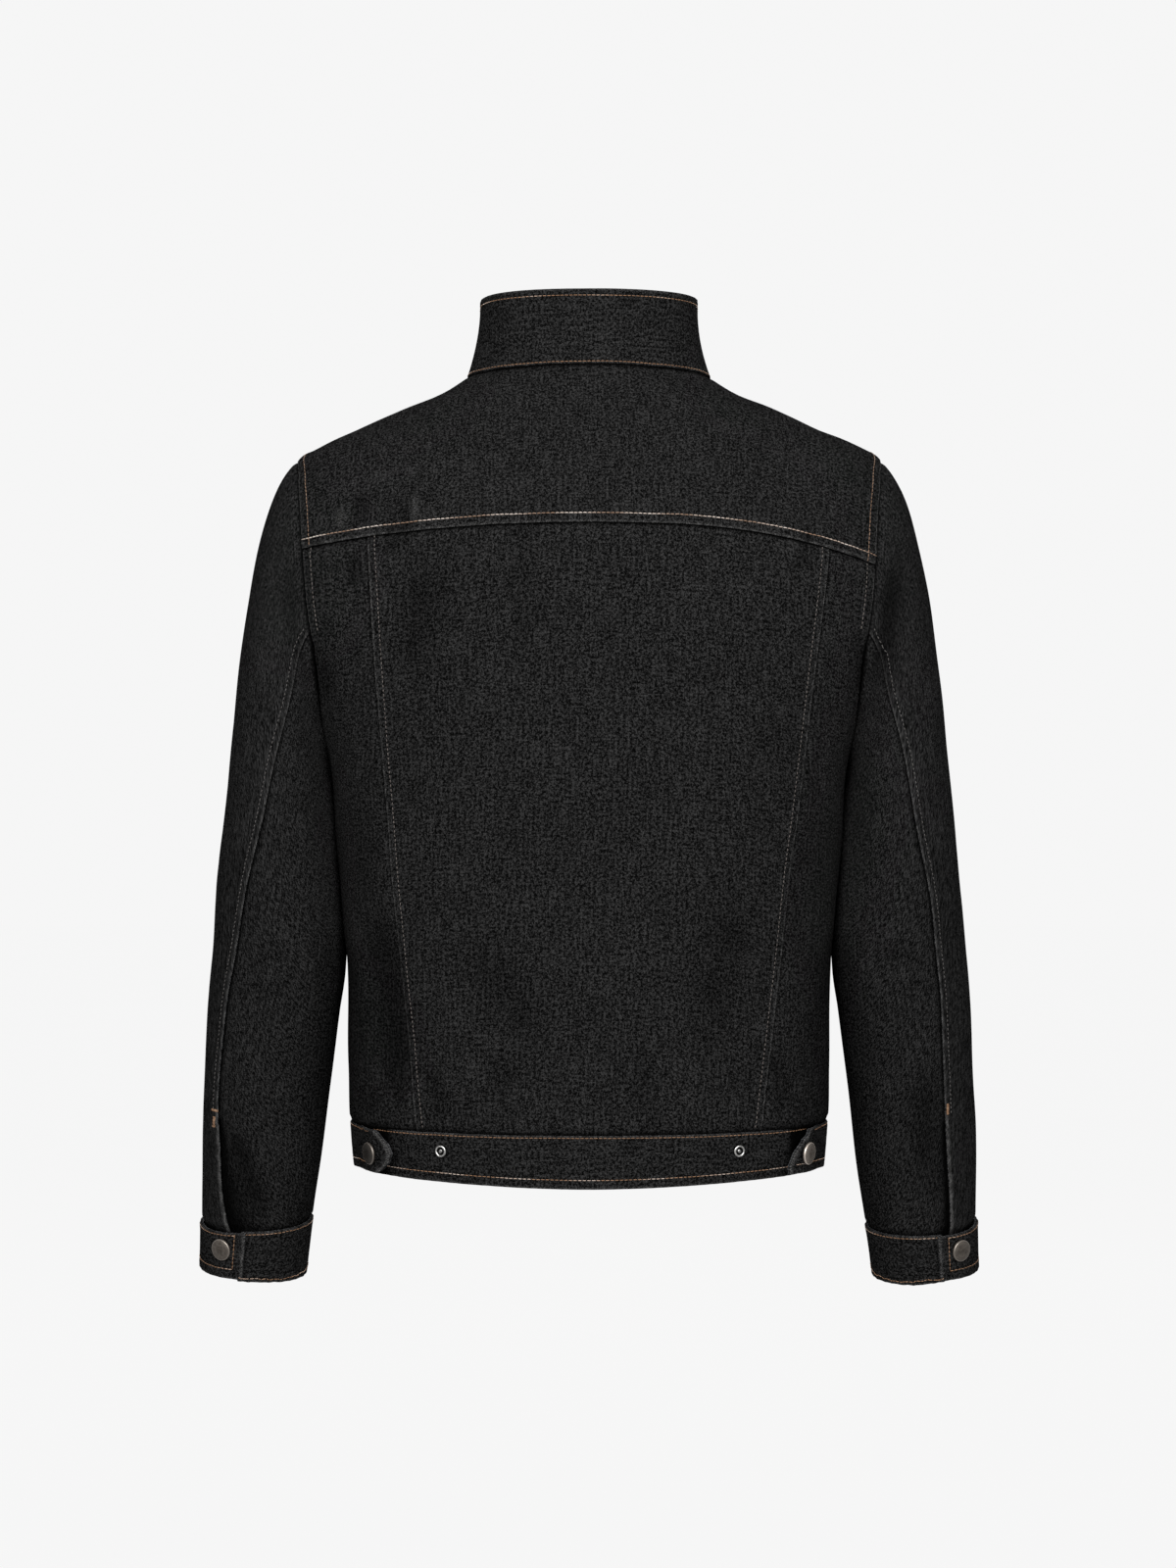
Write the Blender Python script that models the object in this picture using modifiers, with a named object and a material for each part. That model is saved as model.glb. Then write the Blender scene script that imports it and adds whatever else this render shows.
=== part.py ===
"""Denim jacket, hollow and filled out as when it is worn, its collar up and its front fastened.

Metres, +Z up. The front faces -Y and the wearer's left is +X. The origin is the centre of the
neck opening. Every panel is a grid on one of two surfaces, the body or a sleeve, bounded by its
own seam lines, and Solidify gives it the thickness of its cloth.
"""

import math

import bpy
import numpy as np

# Cloth
ONE_LAYER = 0.0016          # a single layer of heavy denim
YOKE_CLOTH = 0.0022         # the yoke, with its turned edge
COLLAR_CLOTH = 0.0028
BAND_CLOTH = 0.0030         # waistband and cuffs, folded double over their seam allowances
SEAM_GAP = 0.0006           # between the outer edges of two panels sewn together
LAYER_GAP = 0.0004          # between two layers that lie on each other
LAP_GAP = 0.0008            # between two thick layers that lap round a bend
YOKE_PROUD = 0.0008         # the yoke's edge lies on the panels below it
CENTRE_PROUD = 0.0005       # and the centre back's edges lie on the side backs
SEAM_STRIP = 0.03           # share of a panel's width in the narrow facets along its seams
TOP_STRIP = 0.01            # and of its height, along the front yoke seams

# Body of the jacket: one row for each level section, from the hem up. The section is a
# superellipse whose front and back halves have their own depth. "square" is its exponent.
BODY_COLUMNS = ("z", "half_width", "side_y", "front_y", "back_y", "square")
BODY_ROWS = (
    (-0.6150, 0.1755, 0.004, -0.112, 0.121, 2.05),
    (-0.5712, 0.1842, 0.004, -0.114, 0.120, 2.10),
    (-0.5300, 0.1850, 0.004, -0.115, 0.119, 2.15),
    (-0.4500, 0.1864, 0.004, -0.117, 0.117, 2.25),
    (-0.3600, 0.1928, 0.005, -0.121, 0.118, 2.35),
    (-0.2900, 0.1995, 0.006, -0.122, 0.121, 2.45),
    (-0.2300, 0.2230, 0.007, -0.119, 0.122, 2.50),
    (-0.1700, 0.2370, 0.008, -0.112, 0.120, 2.50),
    (-0.1100, 0.2350, 0.008, -0.100, 0.112, 2.35),
    (-0.0800, 0.2290, 0.007, -0.093, 0.104, 2.20),
    (-0.0620, 0.2198, 0.006, -0.088, 0.098, 2.10),
    (-0.0409, 0.1760, 0.003, -0.083, 0.090, 2.00),
    (-0.0257, 0.1435, 0.000, -0.080, 0.084, 2.00),
    (-0.0106, 0.1090, -0.002, -0.077, 0.077, 2.00),
    (-0.0010, 0.0930, -0.003, -0.075, 0.073, 2.00),
    (0.0060, 0.0840, -0.003, -0.073, 0.070, 2.00),
)

# Sleeve below the underarm: one row for each section across the arm, from the cuff's edge up.
SLEEVE_COLUMNS = ("z", "centre_x", "half_width", "centre_y", "half_depth")
SLEEVE_ROWS = (
    (-0.6950, 0.2626, 0.0404, -0.030, 0.0405),
    (-0.6500, 0.2588, 0.0428, -0.024, 0.0430),
    (-0.6000, 0.2545, 0.0464, -0.017, 0.0465),
    (-0.5400, 0.2490, 0.0487, -0.009, 0.0510),
    (-0.4800, 0.2428, 0.0508, -0.002, 0.0560),
    (-0.4500, 0.2394, 0.0518, 0.001, 0.0590),
    (-0.4100, 0.2386, 0.0490, 0.004, 0.0640),
    (-0.3600, 0.2382, 0.0445, 0.006, 0.0710),
    (-0.3350, 0.2380, 0.0418, 0.006, 0.0745),
)
UNDERARM_Z = -0.335         # the highest of those sections
SLEEVE_LEAN_RUN = 0.15      # length below it over which the sections come square to the arm
CUFF_TILT = 0.07            # how much more the cuff's edge tilts, as a slope

# Armhole, an upright egg seen from the side: angle 0 is the shoulder point, 90 the back
ARMHOLE_TOP = -0.0640
ARMHOLE_BOTTOM = -0.2920
ARMHOLE_Y = 0.006
ARMHOLE_BACK = 0.0735
ARMHOLE_FRONT = 0.0680
ARMHOLE_SAG = 0.13          # how much wider it is low down
YOKE_FRONT_TURN = 36.0      # where the front yoke seam meets it, degrees before the shoulder point
SHOULDER_PITCH = 36.0       # degrees below level at which the sleeve leaves the shoulder
UNDERARM_PITCH = 34.0       # how much steeper it leaves under the arm
PITCH_EVEN = 0.35           # how much of that is missing at the front and the back
SLEEVE_HEAD = 0.50          # fullness of the sleeve head, and of the fall below it
SLEEVE_FALL = 1.00
SLEEVE_FLARE = 0.12         # how far its front and back lines spread as they leave
HEAD_STRIP = 0.025          # share of the sleeve head in the narrow facets along the armhole

# Neck and yoke seams
NECK_BACK = 0.0012
NECK_SIDE = -0.0012
NECK_FRONT = -0.0550
NECK_DROP = 1.8             # exponent of its fall towards the front
NECK_CORNER = -20.0         # degrees in front of the side, where the front yoke seam ends
YOKE_Z = -0.1205            # at the middle of the back
YOKE_REACH = 0.212
YOKE_DROP = {1: 0.0155, -1: 0.0275}
YOKE_CURVE = {1: 2.0, -1: 2.6}
YOKE_SIDE_SHARE = 0.25      # share of the yoke's outline in each armhole
YOKE_NECK_TURN = 42.0       # where the line from its back corner meets the neck

# Back and side seams
BACK_SEAM_TOP = {1: 0.1645, -1: 0.1790}
BACK_SEAM_BOTTOM = 0.1285
BACK_SEAM_BOW = {1: 0.003, -1: 0.0}
BACK_UNDERARM = 0.58        # share of its height where the row from the underarm meets it
FRONT_UNDERARM_Z = -0.335   # where that row meets the middle of the front
SIDE_SEAM_TURN = -4.0       # degrees in front of the side, at the waistband

# Front edges and waistband
HEM_Z = -0.6062             # at the sides
HEM_DIP = 0.0048            # how much lower the middle of the back is
BAND_Z = -0.5712            # top of the waistband
FRONT_EDGE = 0.018          # how far each front reaches past the middle
FRONT_TUCK = 0.0023         # how far the right front sinks to pass under the left
BAND_TUCK = 0.0038          # and the right end of the waistband
TUCK_START = 0.048          # distance from the middle where they start to sink
TUCK_RUN = 0.026            # length over which they do

# Collar, worn up
COLLAR_BACK = 0.0590
COLLAR_FRONT = 0.0020
COLLAR_WIDTH = 0.0835
COLLAR_BACK_Y = 0.0660
COLLAR_FRONT_Y = -0.0820
COLLAR_SQUARE = 2.3
COLLAR_SPLIT = 1.2          # degrees each side of the middle of the front
COLLAR_HOLLOW = 0.0025      # depth of the hollow halfway up
COLLAR_STAND = 0.0007       # height of its foot over the yoke
COLLAR_FALL_START = 0.15    # sine of the angle behind the side where its edge starts to fall

# Waistband ends, which lap over the back band as snap tabs
TAB_END = 0.1540            # distance of the tab's end from the middle of the back
TAB_BULGE = 4.0             # degrees by which its rounded end runs on
TAB_LIFT = 0.0075           # how far the free end stands off
TAB_CURL = 14.0             # degrees over which it lifts
BACK_BAND_TURN = 4.0        # where the back band starts under the tab
TAB_STEP_TURN = -12.0       # where the front band starts to rise over it

# Sleeve seams: angle round the sleeve at each height, 0 outwards and 90 to the back
SEAM_COLUMNS = ("z", "left", "right")
SEAM_ROWS = (
    (-0.6500, 74.0, 72.0),
    (-0.6100, 52.0, 66.0),
    (-0.5660, 38.0, 61.0),
    (-0.5300, 44.0, 61.0),
    (-0.4500, 55.0, 62.0),
    (-0.4000, 64.0, 68.0),
    (-0.3500, 76.0, 78.0),
    (-0.2800, 87.0, 88.0),
    (-0.1700, 84.0, 84.0),
)
SLEEVE_SEAM_TURN = SEAM_ROWS[-1][1]
INNER_SEAM_TURN = -105.0
SLEEVE_SEAM_GAP = 0.6       # degrees
SLIT_Z = -0.5660            # top of the slit above each cuff
SLIT_LIFT = 0.0030          # how far its upper edge stands off at the cuff
SLIT_LAP = 14.0             # degrees by which the under edge runs beneath it at the cuff
SLIT_SINK = ONE_LAYER + LAYER_GAP + 0.0002
SLIT_SPREAD = 35.0          # degrees from the seam over which they lift and sink

# Cuffs
CUFF_TOP = -0.6500
CUFF_BOTTOM = -0.6935
CUFF_END = {1: 79.0, -1: 76.0}
CUFF_LAP = 6.0              # degrees of overlap
CUFF_RISE_START = 100.0     # degrees before its end where the cuff starts to rise over the lap
CUFF_RISE = 90.0
CUFF_BUTTON_BACK = 26.0     # degrees from the cuff's end to its button

# Hardware
CAP_RADIUS = 0.0085
CAP_HEIGHT = 0.0030
POST_RADIUS = 0.0046
POST_HEIGHT = 0.0024
HARDWARE_STEPS = 16
PLACKET_WIDTH = 0.040
PLACKET_PROUD = ONE_LAYER + LAYER_GAP + 0.0002
PLACKET_INSET = 0.0004      # of its edge from the front's edge
FRONT_BUTTONS = 5
TOP_BUTTON_Z = -0.078
LAST_BUTTON_Z = -0.525
POST_X = {1: 0.1120, -1: 0.1130}
TAB_CAP_X = 0.1655

# Largest folds, as soft troughs. "face" is 1 at the back and -1 at the front. Each trough runs in a
# line from its start to its end, seen from that side, and "reach" is half its width.
FOLD_COLUMNS = ("on", "face", "start_x", "start_z", "end_x", "end_z", "reach", "depth")
FOLDS = (
    ("body", 1, 0.161, -0.395, 0.137, -0.556, 0.013, 0.0045),
    ("body", 1, 0.100, -0.128, 0.137, -0.245, 0.014, 0.0022),
    ("body", 1, 0.094, -0.420, 0.030, -0.520, 0.016, 0.0018),
    ("body", 1, -0.114, -0.375, -0.082, -0.530, 0.016, 0.0020),
    ("body", 1, -0.168, -0.330, -0.150, -0.450, 0.013, 0.0020),
    ("body", -1, 0.150, -0.300, 0.080, -0.400, 0.016, 0.0035),
    ("body", -1, -0.152, -0.310, -0.090, -0.420, 0.016, 0.0030),
    ("body", -1, 0.120, -0.430, 0.085, -0.560, 0.018, 0.0030),
    ("body", -1, -0.125, -0.440, -0.075, -0.560, 0.018, 0.0035),
    ("sleeve", 1, 0.232, -0.120, 0.208, -0.220, 0.013, 0.0030),
    ("sleeve", 1, -0.250, -0.130, -0.222, -0.225, 0.013, 0.0035),
    ("sleeve", 1, -0.254, -0.520, -0.262, -0.640, 0.012, 0.0025),
    ("sleeve", -1, 0.268, -0.370, 0.222, -0.400, 0.010, 0.0030),
    ("sleeve", -1, 0.212, -0.410, 0.262, -0.442, 0.011, 0.0035),
    ("sleeve", -1, -0.266, -0.366, -0.218, -0.392, 0.010, 0.0030),
    ("sleeve", -1, -0.210, -0.402, -0.266, -0.438, 0.011, 0.0035),
)
FOLD_END = 0.35             # share of its length over which a trough fades at each end

DENIM = (0.016, 0.0165, 0.018, 1.0)
GUNMETAL = (0.20, 0.17, 0.145, 1.0)
STEEL = (0.72, 0.72, 0.70, 1.0)
SIDES = {1: "left", -1: "right"}


def smooth(at, knots, values):
    """Cubic through the points (knots, values), its slope at each one taken from its neighbours."""
    at = np.clip(at, knots[0], knots[-1])
    slopes = np.gradient(values, knots)
    i = np.clip(np.searchsorted(knots, at) - 1, 0, len(knots) - 2)
    step = knots[i + 1] - knots[i]
    t = (at - knots[i]) / step
    start = (1 + 2 * t) * values[i] + t * step * slopes[i]
    end = (3 - 2 * t) * values[i + 1] + (t - 1) * step * slopes[i + 1]
    return (1 - t) ** 2 * start + t**2 * end


def read_row(rows, columns, at):
    """A dictionary of a table's columns at the heights "at", read off smooth curves."""
    table = np.array(rows)
    return {name: smooth(at, table[:, 0], table[:, i]) for i, name in enumerate(columns) if i}


def ease(t):
    """0 below 0 and 1 above 1, with a level start and end."""
    t = np.clip(t, 0.0, 1.0)
    return t * t * (3 - 2 * t)


# ---------------------------------------------------------------- surfaces


def body(turn, z):
    """Point of the body at an angle (0 to the wearer's left, 90 to the back) and a height."""
    row = read_row(BODY_ROWS, BODY_COLUMNS, z)
    c = np.cos(np.radians(turn))
    s = np.sin(np.radians(turn))
    depth = np.where(s > 0, row["back_y"] - row["side_y"], row["side_y"] - row["front_y"])
    power = row["square"]
    radius = (np.abs(c / row["half_width"]) ** power + np.abs(s / depth) ** power) ** (-1 / power)
    return np.stack([radius * c, row["side_y"] + radius * s, z + 0 * radius], axis=-1)


def body_turn_at_x(x, z, back=1):
    """Angle of the body's point that has this x and z, on the back (1) or the front (-1)."""
    row = read_row(BODY_ROWS, BODY_COLUMNS, z)
    depth = row["back_y"] - row["side_y"] if back > 0 else row["side_y"] - row["front_y"]
    share = np.clip(np.abs(x) / row["half_width"], 0, 1)
    y = depth * (1 - share ** row["square"]) ** (1 / row["square"])
    return np.degrees(np.arctan2(back * y, x))


def body_turn_at_y(y, z):
    """Angle of the body's point on the wearer's left that has this y and z."""
    row = read_row(BODY_ROWS, BODY_COLUMNS, z)
    y = y - row["side_y"]
    depth = np.where(y > 0, row["back_y"] - row["side_y"], row["side_y"] - row["front_y"])
    share = np.clip(np.abs(y) / depth, 0, 1)
    x = row["half_width"] * (1 - share ** row["square"]) ** (1 / row["square"])
    return np.degrees(np.arctan2(y, x))


def body_under_plan(x, y):
    """(angle, height) of the body's point with this x and y, at or above the yoke, by halving."""
    low = np.full_like(x, YOKE_Z - 0.06)
    high = np.full_like(x, BODY_ROWS[-1][0])
    for _ in range(40):
        z = (low + high) / 2
        row = read_row(BODY_ROWS, BODY_COLUMNS, z)
        across = y - row["side_y"]
        depth = np.where(across > 0, row["back_y"] - row["side_y"], row["side_y"] - row["front_y"])
        power = row["square"]
        inside = np.abs(x / row["half_width"]) ** power + np.abs(across / depth) ** power < 1
        low = np.where(inside, z, low)
        high = np.where(inside, high, z)
    return pairs(np.degrees(np.arctan2(across, x)), z)


def armhole(turn):
    """(angle on the body, height) of the armhole seam at an angle round it."""
    c = np.cos(np.radians(turn))
    s = np.sin(np.radians(turn))
    z = (ARMHOLE_TOP + ARMHOLE_BOTTOM) / 2 + c * (ARMHOLE_TOP - ARMHOLE_BOTTOM) / 2
    reach = np.where(s > 0, ARMHOLE_BACK, ARMHOLE_FRONT)
    y = ARMHOLE_Y + reach * s * (1 - ARMHOLE_SAG * c)
    return np.stack([body_turn_at_y(y, z), z], axis=-1)


def sleeve(turn, down):
    """Point of the left sleeve: turn is the angle round it. From down 0 to 1 each line runs from
    the armhole to the underarm section as a Hermite curve, and from 1 to 2 down to the cuff."""
    turn, down = np.broadcast_arrays(np.asarray(turn, float), np.asarray(down, float))
    c = np.cos(np.radians(turn))
    s = np.sin(np.radians(turn))
    cuff_z = SLEEVE_ROWS[0][0]
    z = UNDERARM_Z + (cuff_z - UNDERARM_Z) * np.clip(down - 1, 0, 1)
    row = read_row(SLEEVE_ROWS, SLEEVE_COLUMNS, z)
    step = 1e-3
    above = read_row(SLEEVE_ROWS, SLEEVE_COLUMNS, z + step)
    below = read_row(SLEEVE_ROWS, SLEEVE_COLUMNS, z - step)
    lean = ease((UNDERARM_Z - z) / SLEEVE_LEAN_RUN)
    lean_x = lean * (above["centre_x"] - below["centre_x"]) / (2 * step)
    lean_x = lean_x - CUFF_TILT * ease((SLIT_Z - z) / (SLIT_Z - cuff_z))
    lean_y = lean * (above["centre_y"] - below["centre_y"]) / (2 * step)
    x = row["half_width"] * c
    y = row["half_depth"] * s
    ring = np.stack([row["centre_x"] + x, row["centre_y"] + y, z - lean_x * x - lean_y * y], axis=-1)

    seam = armhole(turn)
    start = body(seam[..., 0], seam[..., 1])
    start[..., 0] += SEAM_GAP
    length = np.linalg.norm(ring - start, axis=-1, keepdims=True)
    steeper = UNDERARM_PITCH * (1 - c) / 2 * (1 - PITCH_EVEN * np.abs(s))
    pitch = np.radians(SHOULDER_PITCH + steeper)
    leave = np.stack([np.cos(pitch), SLEEVE_FLARE * s, -np.sin(pitch)], axis=-1)
    leave = leave * length * SLEEVE_HEAD
    lower = read_row(SLEEVE_ROWS, SLEEVE_COLUMNS, np.array(UNDERARM_Z - 0.02))
    upper = read_row(SLEEVE_ROWS, SLEEVE_COLUMNS, np.array(UNDERARM_Z))
    taper = {name: (lower[name] - upper[name]) / 0.02 for name in lower}
    arrive_x = taper["centre_x"] + taper["half_width"] * c
    arrive_y = taper["centre_y"] + taper["half_depth"] * s
    arrive = np.stack([arrive_x, arrive_y, -1 + 0 * c], axis=-1) * length * SLEEVE_FALL
    t = np.clip(down, 0, 1)[..., None]
    head = (
        (1 + 2 * t) * (1 - t) ** 2 * start
        + t * (1 - t) ** 2 * leave
        + t**2 * (3 - 2 * t) * ring
        + t**2 * (t - 1) * arrive
    )
    return np.where(down[..., None] >= 1, ring, head)


def sleeve_down(z):
    """The "down" value of the sleeve's section at this height."""
    return 1 + (z - UNDERARM_Z) / (SLEEVE_ROWS[0][0] - UNDERARM_Z)


def cuff_surface(turn, z):
    return sleeve(turn, sleeve_down(z))


def neckline(turn):
    """Height of the neck seam at an angle on the body."""
    s = np.sin(np.radians(turn))
    back = NECK_BACK - NECK_SIDE
    front = NECK_FRONT - NECK_SIDE
    return NECK_SIDE + back * np.clip(s, 0, 1) + front * np.clip(-s, 0, 1) ** NECK_DROP


def collar(turn, up):
    """Point of the collar, from the neck seam (up 0) to its top edge (up 1)."""
    c = np.cos(np.radians(turn))
    s = np.sin(np.radians(turn))
    up = np.asarray(up, float)[..., None]
    foot = body(turn, neckline(turn)) + outward(body, turn, neckline(turn)) * YOKE_PROUD
    fall = ease((COLLAR_FALL_START - s) / (1 + COLLAR_FALL_START))
    depth = np.where(s > 0, COLLAR_BACK_Y, -COLLAR_FRONT_Y)
    power = COLLAR_SQUARE
    radius = (np.abs(c / COLLAR_WIDTH) ** power + np.abs(s / depth) ** power) ** (-1 / power)
    height = COLLAR_BACK + (COLLAR_FRONT - COLLAR_BACK) * fall
    top = np.stack([radius * c, radius * s, height], axis=-1)
    out = np.stack([c, s, 0 * c], axis=-1)
    stand = np.array([0, 0, COLLAR_STAND]) * (1 - up)
    return foot + (top - foot) * up - out * COLLAR_HOLLOW * 4 * up * (1 - up) + stand


def outward(surface, a, b):
    """Unit normals of surface(a, b), from small steps in each parameter."""
    step = 1e-3
    across = surface(a + step, b) - surface(a - step, b)
    along = surface(a, b + step) - surface(a, b - step)
    normal = np.cross(across, along)
    return normal / np.linalg.norm(normal, axis=-1, keepdims=True)


def sink(points, normals, part, side):
    """How deep the folds of the body or a sleeve lie at these points of the wearer's left, or of
    the right where side is -1."""
    depth = np.zeros(points.shape[:-1])
    for row in FOLDS:
        fold = dict(zip(FOLD_COLUMNS, row))
        if fold["on"] != part:
            continue
        run_x = fold["end_x"] - fold["start_x"]
        run_z = fold["end_z"] - fold["start_z"]
        length = math.hypot(run_x, run_z)
        x = points[..., 0] * side - fold["start_x"]
        z = points[..., 2] - fold["start_z"]
        along = (x * run_x + z * run_z) / length**2
        across = (x * run_z - z * run_x) / length
        ends = ease(along / FOLD_END) * ease((1 - along) / FOLD_END)
        facing = np.clip(normals[..., 1] * fold["face"], 0, 1)
        depth += fold["depth"] * np.exp(-((across / fold["reach"]) ** 2)) * ends * facing
    return depth


def raised(surface, lift):
    """The surface moved out by lift, a function of the angle."""

    def moved(turn, z):
        return surface(turn, z) + outward(surface, turn, z) * lift(turn)[..., None]

    return moved


# ---------------------------------------------------------------- grids


def pairs(turn, z):
    turn, z = np.broadcast_arrays(turn, z)
    return np.stack([turn, z], axis=-1)


def spaced(count, strip=SEAM_STRIP):
    """Shares from 0 to 1 in count steps, with a narrow step at each end."""
    return with_strips(np.linspace(0, 1, count + 1), strip)


def with_strips(values, strip=SEAM_STRIP):
    """Rising values with one more close to each end, at strip of the whole range."""
    narrow = strip * (values[-1] - values[0])
    start = [values[0], values[0] + narrow]
    end = [values[-1] - narrow, values[-1]]
    return np.concatenate([start, values[1:-1], end])


def line(start, end, t):
    """Points from start to end at the shares t."""
    return np.asarray(start) + (np.asarray(end) - np.asarray(start)) * t[:, None]


def at_share(t, values):
    """The evenly numbered values read at the shares t of their run."""
    return np.interp(t, np.linspace(0, 1, len(values)), values)


def coons(u, v, bottom, top, left, right):
    """Grid of points between four edges, each an array of points along u or v."""
    u = u[None, :, None]
    v = v[:, None, None]
    blend = (1 - v) * bottom[None] + v * top[None] + (1 - u) * left[:, None] + u * right[:, None]
    low = (1 - u) * bottom[0] + u * bottom[-1]
    high = (1 - u) * top[0] + u * top[-1]
    return blend - (1 - v) * low - v * high


def stacked(u, low, high, bottom, top, left, right):
    """Two grids as one, parted by a straight row. low and high are the heights in each."""
    at = len(low) - 1
    row = line(left[at], right[at], u)
    under = coons(u, low, bottom, row, left[: at + 1], right[: at + 1])
    over = coons(u, high, row, top, left[at:], right[at:])
    return np.concatenate([under, over[1:]])


def mirrored(edge):
    """The same edge on the other side of the body."""
    return edge * (-1, 1) + (180, 0)


def trim(grid, surface, gap=SEAM_GAP):
    """Pulls a grid's four edges in by half a seam gap, measured on the surface."""
    points = surface(grid[..., 0], grid[..., 1])
    for axis in (0, 1):
        for edge, inner in ((0, 1), (-1, -2)):
            at = [slice(None)] * 2
            to = [slice(None)] * 2
            at[axis] = edge
            to[axis] = inner
            width = np.linalg.norm(points[tuple(to)] - points[tuple(at)], axis=-1)[:, None]
            grid[tuple(at)] += (grid[tuple(to)] - grid[tuple(at)]) * np.minimum(gap / 2 / width, 0.4)
    return grid


# ---------------------------------------------------------------- objects


def finish(name, colour, metallic, roughness):
    material = bpy.data.materials.new(name)
    material.use_nodes = True
    shader = material.node_tree.nodes["Principled BSDF"]
    shader.inputs["Base Color"].default_value = colour
    shader.inputs["Metallic"].default_value = metallic
    shader.inputs["Roughness"].default_value = roughness
    material.diffuse_color = colour
    return material


def place(name, mesh, material):
    """Links a mesh to the jacket's collection as one named piece with a finish of its own."""
    piece = bpy.data.objects.new(name, mesh)
    bpy.data.collections["Jacket"].objects.link(piece)
    mesh.materials.append(finish(name, *material))
    return piece


def cloth(name, points, thickness, side=1):
    """A panel from its grid of outer points, given its thickness inwards by Solidify."""
    rows, columns = points.shape[:2]
    points = points.reshape(-1, 3) * (side, 1, 1)
    index = np.arange(rows * columns).reshape(rows, columns)
    corners = [index[:-1, :-1], index[:-1, 1:], index[1:, 1:], index[1:, :-1]]
    faces = np.stack(corners[::side], axis=-1).reshape(-1, 4)
    mesh = bpy.data.meshes.new(name)
    mesh.from_pydata(points.tolist(), [], faces.tolist())
    mesh.shade_smooth()
    piece = place(name, mesh, (DENIM, 0.0, 0.9))
    wall = piece.modifiers.new("Cloth", "SOLIDIFY")
    wall.thickness = thickness
    wall.offset = -1
    return piece


def on_body(name, grid, thickness, lift=0.0, side=1):
    """A panel on the body, its outer face moved out by lift."""
    turn = grid[..., 0]
    z = grid[..., 1]
    points = body(turn, z)
    normals = outward(body, turn, z)
    lift = np.broadcast_to(lift, turn.shape) - sink(points, normals, "body", side)
    return cloth(name, points + normals * lift[..., None], thickness, side)


def turned(name, profile, material, point, axis):
    """A round piece: its profile, from the rim's foot to the middle, spun by Screw about axis."""
    mesh = bpy.data.meshes.new(name)
    edges = [(i, i + 1) for i in range(len(profile) - 1)]
    mesh.from_pydata([(r, 0.0, h) for r, h in profile], edges, [])
    piece = place(name, mesh, material)
    spin = piece.modifiers.new("Turn", "SCREW")
    spin.steps = HARDWARE_STEPS
    spin.render_steps = HARDWARE_STEPS
    spin.use_merge_vertices = True
    spin.merge_threshold = 1e-5
    piece.location = point
    piece.rotation_mode = "QUATERNION"
    piece.rotation_quaternion = axis_turn(axis)
    return piece


def axis_turn(axis):
    """The rotation that takes +Z to axis."""
    x, y, z = axis / np.linalg.norm(axis)
    half = np.array([1 + z, -y, x, 0.0])
    return half / np.linalg.norm(half)


def cap(name, point, axis):
    """A domed snap cap with a rolled rim."""
    r = CAP_RADIUS
    h = CAP_HEIGHT
    profile = [
        (0.0, h),
        (r * 0.55, h * 0.95),
        (r * 0.86, h * 0.72),
        (r, h * 0.40),
        (r * 0.97, h * 0.12),
        (r * 0.80, 0.0),
        (0.0, 0.0),
    ]
    turned(name, profile, (GUNMETAL, 0.9, 0.4), point, axis)


def ring_post(name, point, axis):
    """The ring of a snap's lower half, round a short post."""
    r = POST_RADIUS
    h = POST_HEIGHT
    profile = [
        (0.0, h * 0.85),
        (r * 0.30, h * 0.75),
        (r * 0.42, h * 0.35),
        (r * 0.60, h * 0.35),
        (r * 0.78, h),
        (r, h * 0.55),
        (r, 0.0),
        (0.0, 0.0),
    ]
    turned(name, profile, (STEEL, 1.0, 0.3), point, axis)


# ---------------------------------------------------------------- seam lines


def yoke_height(x, side):
    """Height of the back yoke seam at a distance from the middle."""
    return YOKE_Z - YOKE_DROP[side] * (np.abs(x) / YOKE_REACH) ** YOKE_CURVE[side]


def yoke_seam(x):
    """The back yoke seam at the distances x from the middle, the wearer's left positive."""
    z = np.where(x > 0, yoke_height(x, 1), yoke_height(x, -1))
    return pairs(body_turn_at_x(x, z), z)


def back_junction(side):
    """Where the back yoke seam ends on the armhole: its angle round it and its distance out."""
    turn = np.linspace(30, 80, 401)
    on_hole = armhole(turn)
    x = body(on_hole[:, 0], on_hole[:, 1])[:, 0]
    best = np.argmin(np.abs(on_hole[:, 1] - yoke_height(x, side)))
    return turn[best], x[best]


def armhole_turns(side):
    """Angles round the armhole at which the panels and the sleeve both have points: up the back
    from the underarm, over the yoke from back to front, and up the front from the underarm."""
    junction = back_junction(side)[0]
    inner = 360 + INNER_SEAM_TURN
    back = [np.linspace(180, SLEEVE_SEAM_TURN, 7), np.linspace(SLEEVE_SEAM_TURN, junction, 3)[1:]]
    yoke = np.linspace(junction, -YOKE_FRONT_TURN, 9)
    front = [np.linspace(180, inner, 6), np.linspace(inner, 360 - YOKE_FRONT_TURN, 5)[1:]]
    return np.concatenate(back), yoke, np.concatenate(front)


def back_seam(t, side):
    """One of the two back seams, from the waistband (t 0) up to the yoke (t 1)."""
    top_x = BACK_SEAM_TOP[side]
    top_z = yoke_height(top_x, side)
    z = BAND_Z + (top_z - BAND_Z) * t
    bow = BACK_SEAM_BOW[side] * np.sin(math.pi * t)
    x = BACK_SEAM_BOTTOM + (top_x - BACK_SEAM_BOTTOM) * t + bow
    return pairs(body_turn_at_x(x, z), z)


def side_seam(t):
    """The side seam, from the waistband up to the underarm."""
    return line((SIDE_SEAM_TURN, BAND_Z), armhole(np.array(180.0)), t)


# ---------------------------------------------------------------- panels


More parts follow.
